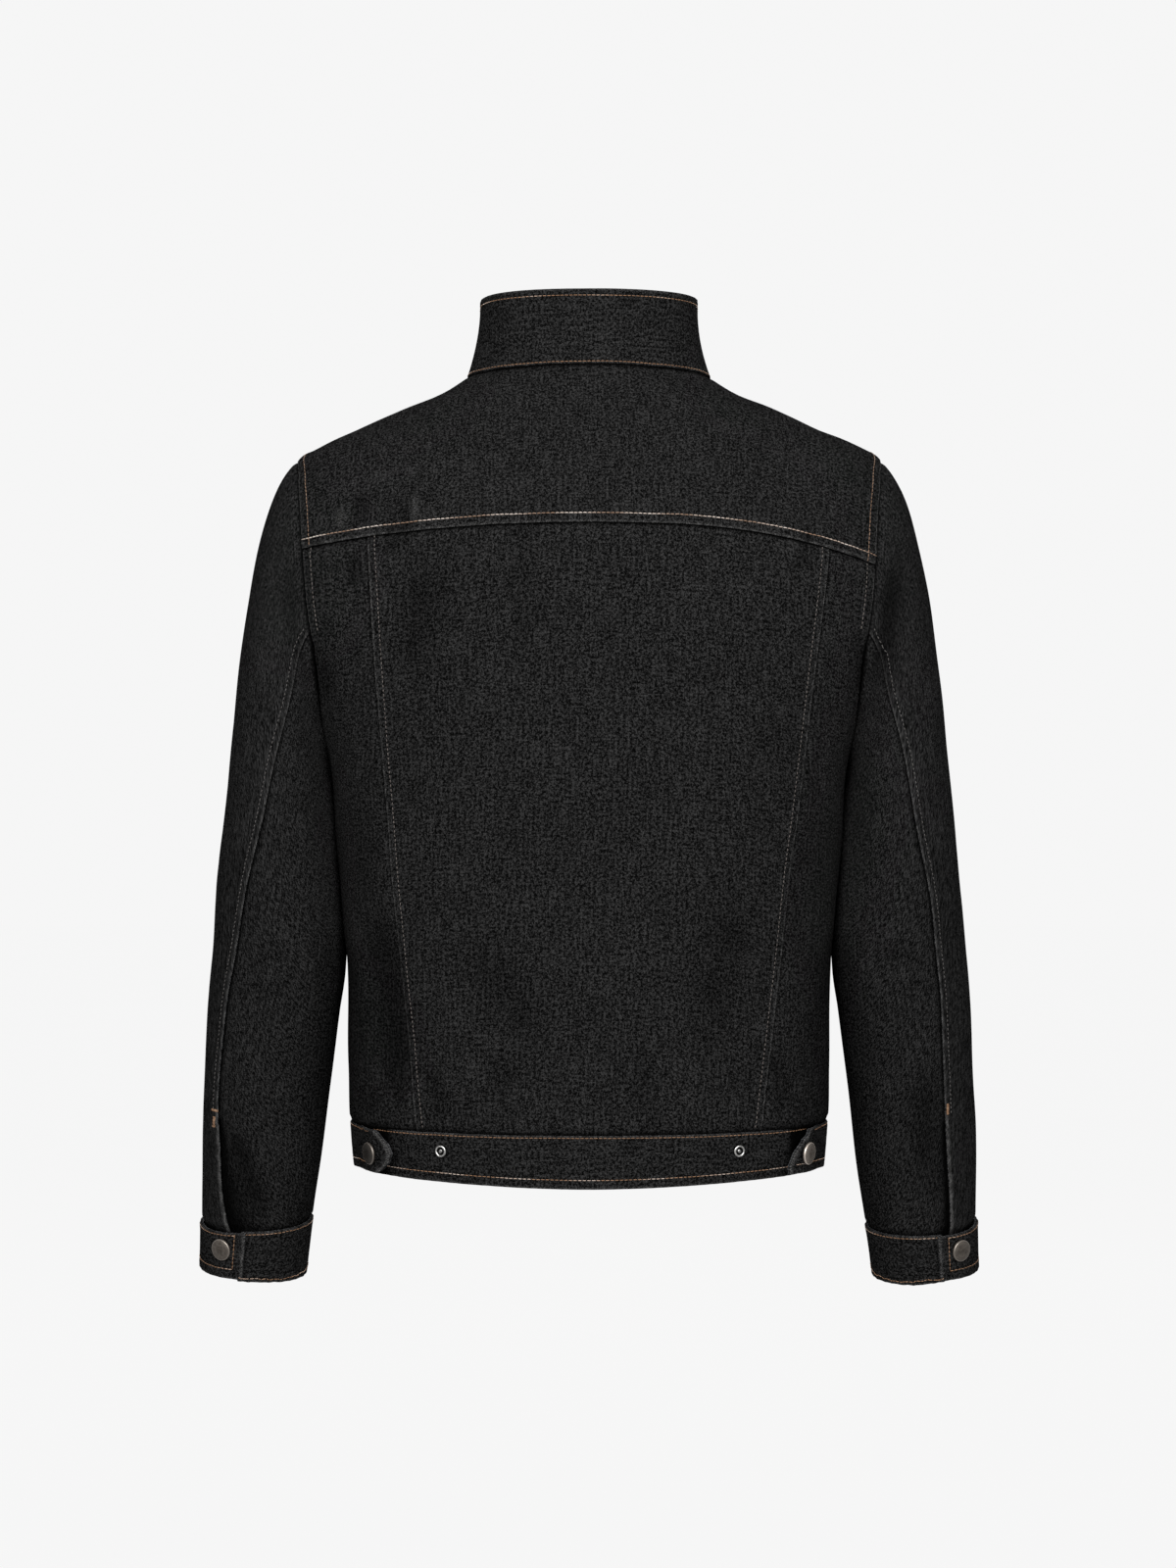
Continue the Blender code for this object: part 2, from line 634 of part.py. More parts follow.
def back_panels():
    step = np.linspace(0, 1, 9)
    rows = np.concatenate([BACK_UNDERARM * step, BACK_UNDERARM + (1 - BACK_UNDERARM) * step[1:]])
    u = spaced(10)
    left = back_seam(rows, 1)
    right = mirrored(back_seam(rows, -1))
    top = yoke_seam(BACK_SEAM_TOP[1] - (BACK_SEAM_TOP[1] + BACK_SEAM_TOP[-1]) * u)
    grid = trim(coons(u, rows, line(left[0], right[0], u), top, left, right), body)
    on_body("back_center", grid, ONE_LAYER + CENTRE_PROUD, CENTRE_PROUD)

    u = spaced(5, 2 * SEAM_STRIP)
    for side, name in SIDES.items():
        hole = armhole(armhole_turns(side)[0])
        left = np.concatenate([side_seam(step), hole[1:]])
        right = back_seam(rows, side)
        out = back_junction(side)[1]
        x = out + (BACK_SEAM_TOP[side] - out) * u
        z = yoke_height(x, side)
        top = pairs(body_turn_at_x(x, z), z)
        grid = stacked(u, step, step, line(left[0], right[0], u), top, left, right)
        on_body(f"back_side_{name}", trim(grid, body), ONE_LAYER, side=side)


def front_panels():
    u = spaced(12)
    step = np.linspace(0, 1, 9)
    high = np.concatenate([np.linspace(0, 1, 10)[:-1], [1 - TOP_STRIP, 1]])
    neck_z = neckline(-90.0)
    start_turn = body_turn_at_x(-FRONT_EDGE, neck_z, -1)
    corner = np.array([NECK_CORNER, neckline(NECK_CORNER)])
    neck = start_turn + (NECK_CORNER - start_turn) * u[u < 0.5] * 2
    shoulder = line(corner, armhole(np.array(-YOKE_FRONT_TURN)), u[u >= 0.5] * 2 - 1)
    top = np.concatenate([pairs(neck, neckline(neck)), shoulder])
    for side, name in SIDES.items():
        hole = armhole(at_share(high, armhole_turns(side)[2]))
        right = np.concatenate([side_seam(step), hole[1:]])
        under = BAND_Z + (FRONT_UNDERARM_Z - BAND_Z) * step
        over = FRONT_UNDERARM_Z + (neckline(start_turn) - FRONT_UNDERARM_Z) * high
        z = np.concatenate([under, over[1:]])
        left = pairs(body_turn_at_x(-FRONT_EDGE, z, -1), z)
        bottom = line(left[0], right[0], u)
        grid = trim(stacked(u, step, high, bottom, top, left, right), body)
        x = body(grid[..., 0], grid[..., 1])[..., 0]
        tuck = FRONT_TUCK * ease((TUCK_START - x) / TUCK_RUN) if side < 0 else 0.0
        on_body(f"front_{name}", grid, ONE_LAYER, -tuck, side)

    edge = FRONT_EDGE - PLACKET_INSET
    x = np.linspace(-edge, PLACKET_WIDTH - edge, 5)[None, :]
    top = neckline(body_turn_at_x(x, neck_z, -1)) - LAP_GAP * 2
    foot = BAND_Z + SEAM_GAP
    z = foot + (top - foot) * np.linspace(0, 1, 17)[:, None]
    on_body("placket", pairs(body_turn_at_x(x, z, -1), z), ONE_LAYER, PLACKET_PROUD)


def yoke_panel():
    """The yoke, a band round the neck from one front seam to the other, worked out in plan."""
    t = np.concatenate([[0, TOP_STRIP], np.arange(1, 9) / 8])
    v = np.concatenate([[0, 2 * SEAM_STRIP], np.arange(1, 7) / 6])
    middle = np.linspace(YOKE_SIDE_SHARE, 1 - YOKE_SIDE_SHARE, 25)[1:-1]
    u = np.concatenate([YOKE_SIDE_SHARE * t, middle, 1 - YOKE_SIDE_SHARE * t[::-1]])
    x = np.linspace(back_junction(1)[1], -back_junction(-1)[1], 25)[1:-1]
    left_hole = armhole(at_share(t, armhole_turns(1)[1][::-1]))
    right_hole = mirrored(armhole(at_share(t, armhole_turns(-1)[1][::-1])))[::-1]
    outer = np.concatenate([left_hole, yoke_seam(x), right_hole])
    corners = (NECK_CORNER, YOKE_NECK_TURN, 180 - YOKE_NECK_TURN, 180 - NECK_CORNER)
    turn = np.interp(u, (0, YOKE_SIDE_SHARE, 1 - YOKE_SIDE_SHARE, 1), corners)
    neck = pairs(turn, neckline(turn))
    left = line(outer[0], neck[0], v)
    right = line(outer[-1], neck[-1], v)
    edges = (body(edge[:, 0], edge[:, 1])[:, :2] for edge in (outer, neck, left, right))
    plan = coons(u, v, *edges)
    grid = body_under_plan(plan[..., 0], plan[..., 1])
    grid[grid[..., 0] < -90, 0] += 360
    on_body("back_yoke", trim(grid, body), YOKE_CLOTH, YOKE_PROUD)


def collar_piece():
    turn = np.concatenate([[-90 + COLLAR_SPLIT], np.linspace(-84, 264, 37), [270 - COLLAR_SPLIT]])
    turn, up = np.meshgrid(turn, np.linspace(0, 1, 5))
    cloth("collar", collar(turn, up), COLLAR_CLOTH)


def band_lift(turn):
    """How far the front waistband stands off the body at an angle."""
    step = BACK_BAND_TURN - 1 - TAB_STEP_TURN
    over_back = (BAND_CLOTH + LAP_GAP) * ease((turn - TAB_STEP_TURN) / step)
    end = body_turn_at_x(TAB_END, np.array(BAND_Z))
    return YOKE_PROUD + over_back + TAB_LIFT * ease((turn - end + TAB_CURL) / TAB_CURL)


def band_grid(turn, height):
    """A waistband grid, whose lower edge dips towards the middle of the back."""
    hem = HEM_Z - HEM_DIP * np.clip(np.sin(np.radians(turn)), 0, 1) ** 2
    return pairs(turn, hem + (BAND_Z - SEAM_GAP - hem) * height)


def waistband():
    height = np.linspace(0, 1, 4)[:, None]
    turn = np.linspace(BACK_BAND_TURN, 180 - BACK_BAND_TURN, 35)
    on_body("waistband_back", band_grid(turn, height), BAND_CLOTH, YOKE_PROUD)
    start = body_turn_at_x(-FRONT_EDGE, np.array(BAND_Z), -1)
    end = body_turn_at_x(TAB_END, np.array(BAND_Z)) + TAB_BULGE * np.sin(math.pi * height)
    plain = np.linspace(start, TAB_STEP_TURN, 13)[None, :-1] + 0 * height
    lap = TAB_STEP_TURN + (end - TAB_STEP_TURN) * np.linspace(0, 1, 15)[None, :]
    grid = band_grid(np.concatenate([plain, lap], axis=1), height)
    lift = band_lift(grid[..., 0])
    x = body(grid[..., 0], grid[..., 1])[..., 0]
    tuck = BAND_TUCK * ease((TUCK_START - x) / TUCK_RUN)
    on_body("waistband_left", grid, BAND_CLOTH, lift)
    on_body("waistband_right", grid, BAND_CLOTH, lift - tuck, -1)


def sleeve_rows():
    """"Down" values of the rows of a sleeve panel, from the cuff up."""
    slit = sleeve_down(SLIT_Z)
    head = np.linspace(0, 1, 10)[1:-1]
    arm = np.linspace(1, slit, 7)
    opening = np.linspace(slit, sleeve_down(CUFF_TOP + SEAM_GAP), 5)[1:]
    return np.concatenate([[0, HEAD_STRIP], head, arm, opening])[::-1]


def sleeve_panel(name, shares, low, high, lift, side):
    """A sleeve panel between the angles low and high of each row, moved out by lift(angle)."""
    turn = low + (high - low) * shares
    down = np.broadcast_to(sleeve_rows()[:, None], turn.shape)
    points = sleeve(turn, down)
    normals = -outward(sleeve, turn, down)
    moved = lift(turn) - sink(points, normals, "sleeve", side) * ease(down / 0.3)
    cloth(name, points + normals * moved[..., None], ONE_LAYER, side)


def sleeve_panels():
    """Each sleeve's upper and under panels. Along the slit one lifts and the other sinks."""
    down = sleeve_rows()[:, None]
    below = UNDERARM_Z + (SLEEVE_ROWS[0][0] - UNDERARM_Z) * (down - 1)
    height = np.where(down < 1, sleeve(SLEEVE_SEAM_TURN, down)[..., 2], below)
    opened = np.clip((SLIT_Z - height) / (SLIT_Z - CUFF_TOP), 0, 1)
    half_gap = SLEEVE_SEAM_GAP / 2
    for side, name in SIDES.items():
        back, yoke, front = armhole_turns(side)
        over = np.concatenate([front[5:-1] - 360, yoke[:0:-1], back[:5:-1]])
        under = np.concatenate([back[6:0:-1], front[:6]])
        over = with_strips(over, SEAM_STRIP * 0.7)
        under = with_strips(under, SEAM_STRIP * 0.7)
        over = (over - over[0]) / (over[-1] - over[0])
        under = (under - under[0]) / (under[-1] - under[0])
        row = read_row(SEAM_ROWS, SEAM_COLUMNS, np.minimum(height, SEAM_ROWS[-1][0]))
        seam = row[name]
        lap = SLIT_LAP * ease((opened - 0.15) / 0.85)

        def lifted(turn):
            return SLIT_LIFT * opened * ease((turn - seam) / SLIT_SPREAD + 1)

        def sunk(turn):
            return -SLIT_SINK * ease(opened * 6) * ease((seam - turn) / SLIT_SPREAD + 1)

        start = INNER_SEAM_TURN + half_gap
        sleeve_panel(f"sleeve_upper_{name}", over, start, seam - half_gap, lifted, side)
        end = INNER_SEAM_TURN + 360 - half_gap
        sleeve_panel(f"sleeve_under_{name}", under, seam + half_gap - lap, end, sunk, side)


def cuff_lift(side):
    """How far the cuff stands off at an angle: its outer end lies over its under end."""

    def lift(turn):
        rise = ease((turn - CUFF_END[side] + CUFF_RISE_START) / CUFF_RISE)
        return YOKE_PROUD + (BAND_CLOTH + LAP_GAP) * rise

    return lift


def cuffs():
    for side, name in SIDES.items():
        turn = np.linspace(CUFF_END[side] - 360 - CUFF_LAP, CUFF_END[side], 35)
        turn, z = np.meshgrid(turn, np.linspace(CUFF_BOTTOM, CUFF_TOP, 4))
        points = raised(cuff_surface, cuff_lift(side))(turn, z)
        cloth(f"cuff_{name}", points, BAND_CLOTH, side)


# ---------------------------------------------------------------- hardware


def seat(surface, turn, z, radius, side):
    """Middle and direction of a round foot that clears the surface by a layer gap all round."""
    turn = np.array([float(turn)])
    z = np.array([float(z)])
    middle = surface(turn, z)[0]
    normal = outward(surface, turn, z)[0]
    degree = np.linalg.norm(surface(turn + 1, z)[0] - middle)
    rim = np.radians(np.arange(0, 360, 30))
    around = surface(turn + radius / degree * np.cos(rim), z + radius * np.sin(rim))
    lift = max(0.0, ((around - middle) @ normal).max()) + LAYER_GAP
    return (middle + normal * lift) * (side, 1, 1), normal * (side, 1, 1)


def hardware():
    placket = raised(body, lambda turn: PLACKET_PROUD + 0 * turn)
    back_band = raised(body, lambda turn: YOKE_PROUD + 0 * turn)
    front_band = raised(body, band_lift)
    for i, z in enumerate(np.linspace(TOP_BUTTON_Z, LAST_BUTTON_Z, FRONT_BUTTONS)):
        cap(f"front_cap_{i + 1}", *seat(placket, -90, z, CAP_RADIUS, 1))
    middle = (HEM_Z + BAND_Z) / 2
    cap("front_cap_6", *seat(front_band, -90, middle, CAP_RADIUS, 1))
    for side, name in SIDES.items():
        cuff = raised(cuff_surface, cuff_lift(side))
        turn = CUFF_END[side] - CUFF_BUTTON_BACK
        cap(f"cuff_cap_{name}", *seat(cuff, turn, (CUFF_TOP + CUFF_BOTTOM) / 2, CAP_RADIUS, side))
        turn = body_turn_at_x(TAB_CAP_X, np.array(middle))
        cap(f"tab_cap_{name}", *seat(front_band, turn, middle, CAP_RADIUS, side))
        turn = body_turn_at_x(POST_X[side], np.array(middle))
        ring_post(f"ring_post_{name}", *seat(back_band, turn, middle, POST_RADIUS, side))


def main():
    for old in list(bpy.data.objects):
        bpy.data.objects.remove(old, do_unlink=True)
    bpy.context.scene.collection.children.link(bpy.data.collections.new("Jacket"))
    back_panels()
    front_panels()
    yoke_panel()
    collar_piece()
    waistband()
    sleeve_panels()
    cuffs()
    hardware()


main()
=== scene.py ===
import math

import bpy
import numpy as np
from mathutils.bvhtree import BVHTree
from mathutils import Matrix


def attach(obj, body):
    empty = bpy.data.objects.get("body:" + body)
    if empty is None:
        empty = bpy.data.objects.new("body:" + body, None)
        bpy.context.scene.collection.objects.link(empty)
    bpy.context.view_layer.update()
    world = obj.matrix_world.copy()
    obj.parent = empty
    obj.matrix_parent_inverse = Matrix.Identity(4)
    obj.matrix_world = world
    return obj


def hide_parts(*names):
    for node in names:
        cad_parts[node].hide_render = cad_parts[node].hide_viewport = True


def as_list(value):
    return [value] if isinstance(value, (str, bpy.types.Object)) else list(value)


# Looks of the denim jacket: a thin shell of cloth in place of each panel, with its turned edges,
# puckered seams and creases, stitches of real thread, snaps, and a pale studio.
#
# Metres and degrees, +Z up. The front faces -Y and the wearer's left is +X. Where a size has one
# value for each side, 1 is the wearer's left and -1 the right.

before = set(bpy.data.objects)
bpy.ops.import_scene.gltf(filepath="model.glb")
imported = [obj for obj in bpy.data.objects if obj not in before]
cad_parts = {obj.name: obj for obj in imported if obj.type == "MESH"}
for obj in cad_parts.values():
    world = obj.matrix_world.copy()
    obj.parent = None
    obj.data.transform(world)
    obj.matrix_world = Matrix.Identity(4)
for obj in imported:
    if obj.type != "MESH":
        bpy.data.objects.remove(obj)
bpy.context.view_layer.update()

# ---------------------------------------------------------------- sizes of the shapes

ONE_LAYER = 0.0016
BAND_CLOTH = 0.0030         # a band of doubled cloth
SEAM_GAP = 0.0006
LAYER_GAP = 0.0004
LAP_GAP = 0.0008
YOKE_PROUD = 0.0008         # how far the yoke, collar and bands stand off the body

# Sections of the body at their heights. Square 2 is an ellipse, and more is boxier.
BODY_COLUMNS = ("z", "half_width", "side_y", "front_y", "back_y", "square")
BODY_ROWS = (
    (-0.6150, 0.1755, 0.004, -0.112, 0.121, 2.05),
    (-0.5712, 0.1842, 0.004, -0.114, 0.120, 2.10),
    (-0.5300, 0.1850, 0.004, -0.115, 0.119, 2.15),
    (-0.4500, 0.1864, 0.004, -0.117, 0.117, 2.25),
    (-0.3600, 0.1928, 0.005, -0.121, 0.118, 2.35),
    (-0.2900, 0.1995, 0.006, -0.122, 0.121, 2.45),
    (-0.2300, 0.2230, 0.007, -0.119, 0.122, 2.50),
    (-0.1700, 0.2370, 0.008, -0.112, 0.120, 2.50),
    (-0.1100, 0.2350, 0.008, -0.100, 0.112, 2.35),
    (-0.0800, 0.2290, 0.007, -0.093, 0.104, 2.20),
    (-0.0620, 0.2198, 0.006, -0.088, 0.098, 2.10),
    (-0.0409, 0.1760, 0.003, -0.083, 0.090, 2.00),
    (-0.0257, 0.1435, 0.000, -0.080, 0.084, 2.00),
    (-0.0106, 0.1090, -0.002, -0.077, 0.077, 2.00),
    (-0.0010, 0.0930, -0.003, -0.075, 0.073, 2.00),
    (0.0060, 0.0840, -0.003, -0.073, 0.070, 2.00),
)

# Sections of the left sleeve below the underarm
SLEEVE_COLUMNS = ("z", "centre_x", "half_width", "centre_y", "half_depth")
SLEEVE_ROWS = (
    (-0.6950, 0.2626, 0.0404, -0.030, 0.0405),
    (-0.6500, 0.2588, 0.0428, -0.024, 0.0430),
    (-0.6000, 0.2545, 0.0464, -0.017, 0.0465),
    (-0.5400, 0.2490, 0.0487, -0.009, 0.0510),
    (-0.4800, 0.2428, 0.0508, -0.002, 0.0560),
    (-0.4500, 0.2394, 0.0518, 0.001, 0.0590),
    (-0.4100, 0.2386, 0.0490, 0.004, 0.0640),
    (-0.3600, 0.2382, 0.0445, 0.006, 0.0710),
    (-0.3350, 0.2380, 0.0418, 0.006, 0.0745),
)
UNDERARM_Z = -0.335
SLEEVE_LEAN_RUN = 0.15
CUFF_TILT = 0.07

ARMHOLE_TOP = -0.0640
ARMHOLE_BOTTOM = -0.2920
ARMHOLE_Y = 0.006
ARMHOLE_BACK = 0.0655
ARMHOLE_FRONT = 0.0680
ARMHOLE_SAG = 0.06
YOKE_FRONT_TURN = 36.0
SHOULDER_PITCH = 36.0
UNDERARM_PITCH = 34.0
PITCH_EVEN = 0.35
SLEEVE_HEAD = 0.50
SLEEVE_FALL = 1.00
SLEEVE_FLARE = 0.12

NECK_BACK = 0.0012
NECK_SIDE = -0.0012
NECK_FRONT = -0.0550
NECK_DROP = 1.8
NECK_CORNER = -20.0
YOKE_Z = -0.1205
YOKE_REACH = 0.212
YOKE_DROP = {1: 0.0155, -1: 0.0275}
YOKE_CURVE = {1: 2.0, -1: 2.6}
YOKE_SIDE_SHARE = 0.25
YOKE_NECK_TURN = 42.0

BACK_SEAM_TOP = {1: 0.1645, -1: 0.1790}
BACK_SEAM_BOTTOM = 0.1285
BACK_SEAM_BOW = {1: 0.003, -1: 0.0}
BACK_UNDERARM = 0.58
FRONT_UNDERARM_Z = -0.335
SIDE_SEAM_TURN = -4.0

HEM_Z = -0.6062
HEM_DIP = 0.0048
BAND_Z = -0.5712
FRONT_EDGE = 0.018
FRONT_TUCK = 0.0023
BAND_TUCK = 0.0038
TUCK_START = 0.048
TUCK_RUN = 0.026

COLLAR_BACK = 0.0590
COLLAR_FRONT = 0.0020
COLLAR_WIDTH = 0.0835
COLLAR_BACK_Y = 0.0660
COLLAR_FRONT_Y = -0.0820
COLLAR_SQUARE = 2.3
COLLAR_SPLIT = 1.2
COLLAR_HOLLOW = 0.0025
COLLAR_STAND = 0.0007
COLLAR_FALL_START = 0.15
COLLAR_CLOTH = 0.0028

TAB_END = 0.1540
TAB_BULGE = {1: 5.0, -1: 2.5}   # how far a tab's end bulges, and how far its top runs back
TAB_SLANT = {1: 0.0, -1: 7.0}
TAB_RISE = 0.0040           # how far the tab's lower corner curls up
TAB_LIFT = 0.0075           # how far its end stands off, over its last degrees
TAB_CURL = 14.0
BACK_BAND_TURN = 4.0
TAB_STEP_TURN = -12.0

# The angle round the sleeve of its back seam, at heights, on each side
SEAM_COLUMNS = ("z", "left", "right")
SEAM_ROWS = (
    (-0.6500, 69.0, 67.0),
    (-0.6200, 58.5, 66.0),
    (-0.5900, 52.5, 65.5),
    (-0.5640, 47.5, 65.0),
    (-0.5220, 46.5, 63.5),
    (-0.4500, 55.0, 62.0),
    (-0.4000, 64.0, 68.0),
    (-0.3500, 79.0, 80.0),
    (-0.2980, 94.0, 92.0),
    (-0.2400, 103.0, 102.0),
    (-0.2000, 101.0, 101.0),
)
SLEEVE_SEAM_TURN = SEAM_ROWS[-1][1]
INNER_SEAM_TURN = -105.0
SLIT_Z = -0.5595
SLIT_LIFT = 0.0030
SLIT_LAP = 14.0
SLIT_SINK = ONE_LAYER + LAYER_GAP + 0.0002
SLIT_SPREAD = 35.0
# How far the slit's painted shadow reaches on the under panel, at its top and at its foot
SLIT_SHADE = {1: (0.0030, 0.0250), -1: (0.0045, 0.0042)}

CUFF_TOP = -0.6500
CUFF_BOTTOM = -0.6935
CUFF_END = {1: 85.0, -1: 80.0}
CUFF_LAP = 6.0
CUFF_RISE_START = 100.0
CUFF_RISE = 90.0
LAP_RISE = 0.0020           # how far the lower corner of a cuff's outer end curls up
LAP_RISE_RUN = 50.0
CUFF_BUTTON_BACK = 22.5     # from the cuff's end to its cap
CUFF_CAP_Z = -0.6656

CAP_RADIUS = 0.0085
CAP_HEIGHT = 0.0030
POST_RADIUS = 0.0046
POST_HEIGHT = 0.0024
PLACKET_WIDTH = 0.040
PLACKET_PROUD = ONE_LAYER + LAYER_GAP + 0.0002
PLACKET_INSET = 0.0004
FRONT_BUTTONS = 5
TOP_BUTTON_Z = -0.078
LAST_BUTTON_Z = -0.525
POST_X = {1: 0.1085, -1: 0.1100}
POST_RISE = 0.0038          # how far a ring is above the band's middle
TAB_CAP_X = 0.1565
SIDES = {1: "left", -1: "right"}

# Folds, each along a line from start to end, on the back (face 1) or the front (-1)
FOLD_COLUMNS = ("on", "face", "start_x", "start_z", "end_x", "end_z", "reach", "depth")
FOLDS = (
    ("body", 1, 0.161, -0.395, 0.137, -0.556, 0.013, 0.0045),
    ("body", 1, 0.104, -0.128, 0.137, -0.245, 0.015, 0.0017),
    ("body", 1, 0.094, -0.420, 0.030, -0.520, 0.016, 0.0018),
    ("body", 1, -0.114, -0.375, -0.082, -0.530, 0.016, 0.0020),
    ("body", 1, -0.166, -0.330, -0.146, -0.460, 0.015, 0.0011),
    ("body", -1, 0.150, -0.300, 0.080, -0.400, 0.016, 0.0035),
    ("body", -1, -0.152, -0.310, -0.090, -0.420, 0.016, 0.0030),
    ("body", -1, 0.120, -0.430, 0.085, -0.560, 0.018, 0.0030),
    ("body", -1, -0.125, -0.440, -0.075, -0.560, 0.018, 0.0035),
    ("sleeve", 1, 0.224, -0.118, 0.190, -0.272, 0.014, 0.0044),
    ("sleeve", 1, -0.236, -0.122, -0.202, -0.266, 0.014, 0.0046),
    ("sleeve", 1, -0.254, -0.520, -0.262, -0.640, 0.012, 0.0025),
    ("sleeve", -1, 0.268, -0.370, 0.222, -0.400, 0.010, 0.0030),
    ("sleeve", -1, 0.212, -0.410, 0.262, -0.442, 0.011, 0.0035),
    ("sleeve", -1, -0.266, -0.366, -0.218, -0.392, 0.010, 0.0030),
    ("sleeve", -1, -0.210, -0.402, -0.266, -0.438, 0.011, 0.0035),
)
FOLD_END = 0.35             # share of its length over which a fold fades out at each end

# ---------------------------------------------------------------- sizes of the finish

# Smaller creases, in the same columns. A depth below 0 is a ridge.
CREASES = (
    ("body", 1, 0.1690, -0.400, 0.1520, -0.510, 0.0080, 0.0010),
    ("body", 1, 0.1570, -0.480, 0.1380, -0.566, 0.0070, 0.0016),
    ("body", 1, -0.1640, -0.360, -0.1520, -0.500, 0.0090, 0.0004),
    ("body", 1, 0.1230, -0.125, 0.1350, -0.235, 0.0080, 0.0006),
    ("body", 1, 0.2010, -0.215, 0.1960, -0.255, 0.0060, 0.0014),
    ("body", 1, -0.2100, -0.205, -0.2020, -0.250, 0.0060, 0.0014),
    ("sleeve", 1, 0.2220, -0.135, 0.1960, -0.245, 0.0080, 0.0020),
    ("sleeve", 1, -0.2320, -0.138, -0.2080, -0.240, 0.0080, 0.0020),
    ("body", 1, 0.1712, -0.090, 0.1715, -0.128, 0.0050, 0.0009),
    ("body", 1, 0.1865, -0.104, 0.1850, -0.127, 0.0045, -0.0010),
    ("body", 1, 0.1460, -0.108, 0.1455, -0.150, 0.0050, 0.0009),
    ("body", 1, 0.1360, -0.094, 0.1350, -0.144, 0.0050, 0.0009),
    ("body", 1, 0.1300, -0.096, 0.1290, -0.122, 0.0040, -0.0010),
    ("body", 1, 0.1750, -0.138, 0.1745, -0.172, 0.0045, 0.0009),
    ("body", 1, 0.1700, -0.540, 0.1640, -0.566, 0.0050, 0.0016),
    ("body", 1, 0.1190, -0.515, 0.1090, -0.568, 0.0050, 0.0011),
    ("body", 1, 0.0480, -0.118, 0.0500, -0.240, 0.0100, 0.0007),
    ("body", 1, -0.1620, -0.118, -0.1600, -0.160, 0.0040, 0.0008),
    ("body", 1, -0.1380, -0.505, -0.1470, -0.566, 0.0060, 0.0011),
    ("body", 1, 0.0670, -0.505, 0.0620, -0.568, 0.0060, 0.0007),
    ("body", 1, -0.0370, -0.500, -0.0430, -0.568, 0.0060, 0.0006),
    ("body", -1, 0.1650, -0.100, 0.1450, -0.180, 0.0080, 0.0016),
    ("body", -1, -0.1620, -0.105, -0.1400, -0.190, 0.0080, 0.0015),
    ("body", -1, 0.0620, -0.300, 0.0500, -0.440, 0.0100, 0.0014),
    ("body", -1, -0.0600, -0.280, -0.0520, -0.400, 0.0100, 0.0013),
    ("body", -1, 0.1400, -0.530, 0.1340, -0.568, 0.0050, 0.0016),
    ("body", -1, -0.0980, -0.535, -0.0930, -0.568, 0.0050, 0.0013),
    ("body", -1, -0.1500, -0.528, -0.1420, -0.568, 0.0055, 0.0016),
    ("sleeve", 1, 0.2620, -0.150, 0.2450, -0.260, 0.0120, -0.0012),
    ("sleeve", 1, -0.2740, -0.170, -0.2520, -0.280, 0.0120, -0.0012),
    ("sleeve", 1, 0.2130, -0.455, 0.2480, -0.475, 0.0080, 0.0005),
    ("sleeve", 1, -0.2100, -0.430, -0.2420, -0.455, 0.0080, 0.0006),
    ("sleeve", 1, 0.2800, -0.570, 0.2460, -0.655, 0.0085, 0.0038),
    ("sleeve", -1, 0.2650, -0.454, 0.2200, -0.478, 0.0080, 0.0022),
    ("sleeve", -1, -0.2620, -0.450, -0.2150, -0.470, 0.0080, 0.0020),
    ("sleeve", -1, 0.2260, -0.340, 0.2600, -0.356, 0.0080, 0.0018),
    ("sleeve", -1, -0.2240, -0.334, -0.2620, -0.352, 0.0080, 0.0018),
    ("sleeve", -1, 0.2340, -0.590, 0.2620, -0.642, 0.0080, 0.0016),
    ("sleeve", -1, -0.2480, -0.585, -0.2280, -0.640, 0.0080, 0.0015),
)

# The slow unevenness of the cloth: waves, by how many there are to a metre, their phase and height
WAVE_COLUMNS = ("across", "deep", "up", "phase", "height")
WAVES = (
    (13.0, 4.0, 2.1, 0.6, 0.00030),
    (21.0, -9.0, -3.2, 2.1, 0.00022),
    (-8.0, 14.0, 6.1, 4.0, 0.00026),
    (31.0, 17.0, 7.5, 1.2, 0.00012),
    (5.0, -6.0, 12.5, 5.1, 0.00018),
)

LAYER = 0.0012              # a single layer of the cloth
RISE = 0.0007               # a turned edge, three layers up to its stitches
SINK = 0.0012               # how deep the other panel passes under it
UNDER_REACH = 0.0030        # and how far
WRIST_IN = 0.0105           # how far the sleeve reaches down into the cuff, and how deep
WRIST_IN_SINK = 0.0018
NECK_IN = 0.0045            # how far the fronts reach up behind the yoke and the collar
COLLAR_IN = 0.0040          # how far the yoke reaches up behind the collar, and how deep
COLLAR_IN_SINK = 0.0006
# How far the backs reach up behind the yoke, and the body down behind the waistband, and how deep
BEHIND_YOKE = ("top", 0.0065, SINK)
BEHIND_BAND = ("bottom", 0.0050, 0.0014)
CONTACT_LIGHT = 0.13               # painted highlight: how much lighter the cloth is painted where the sleeve lies on the body
TAB_SHADE = 0.0060          # how far the painted shadow of a waistband tab reaches on the back band
SHADOW = 0.85               # painted shadow: how dark the cloth is painted right beside a seam that lies on it
SHADOW_REACH = 0.0016
FOLD_SHADE = 0.78           # painted shade: how dark a fold is painted, and how steep it is to be so
FOLD_STEEP = 0.22
RIDGE_HIGHLIGHT = 0.45            # painted highlight: how light a ridge is painted, and how steep it is to be so
RIDGE_STEEP = 0.30
INNER_REACH = 42.0          # how far round the sleeve its inner side goes
BAND_WAVES = 0.7            # the unevenness of the cuffs and the back band, by that of the cloth
YOKE_LIFT = 0.0003
FALL_RUN = 0.0035           # length over which the turned edge falls behind its stitches
GROOVE = 0.00034            # depth and half width of the dent along a row of stitches
GROOVE_REACH = 0.0009
PUCKER = 0.00022
PUCKER_REACH = 0.006
ROUNDING = 0.0006           # radius of a folded edge
EDGE_STEPS = (0.0, 0.00015, 0.0005, 0.0010, 0.0017)
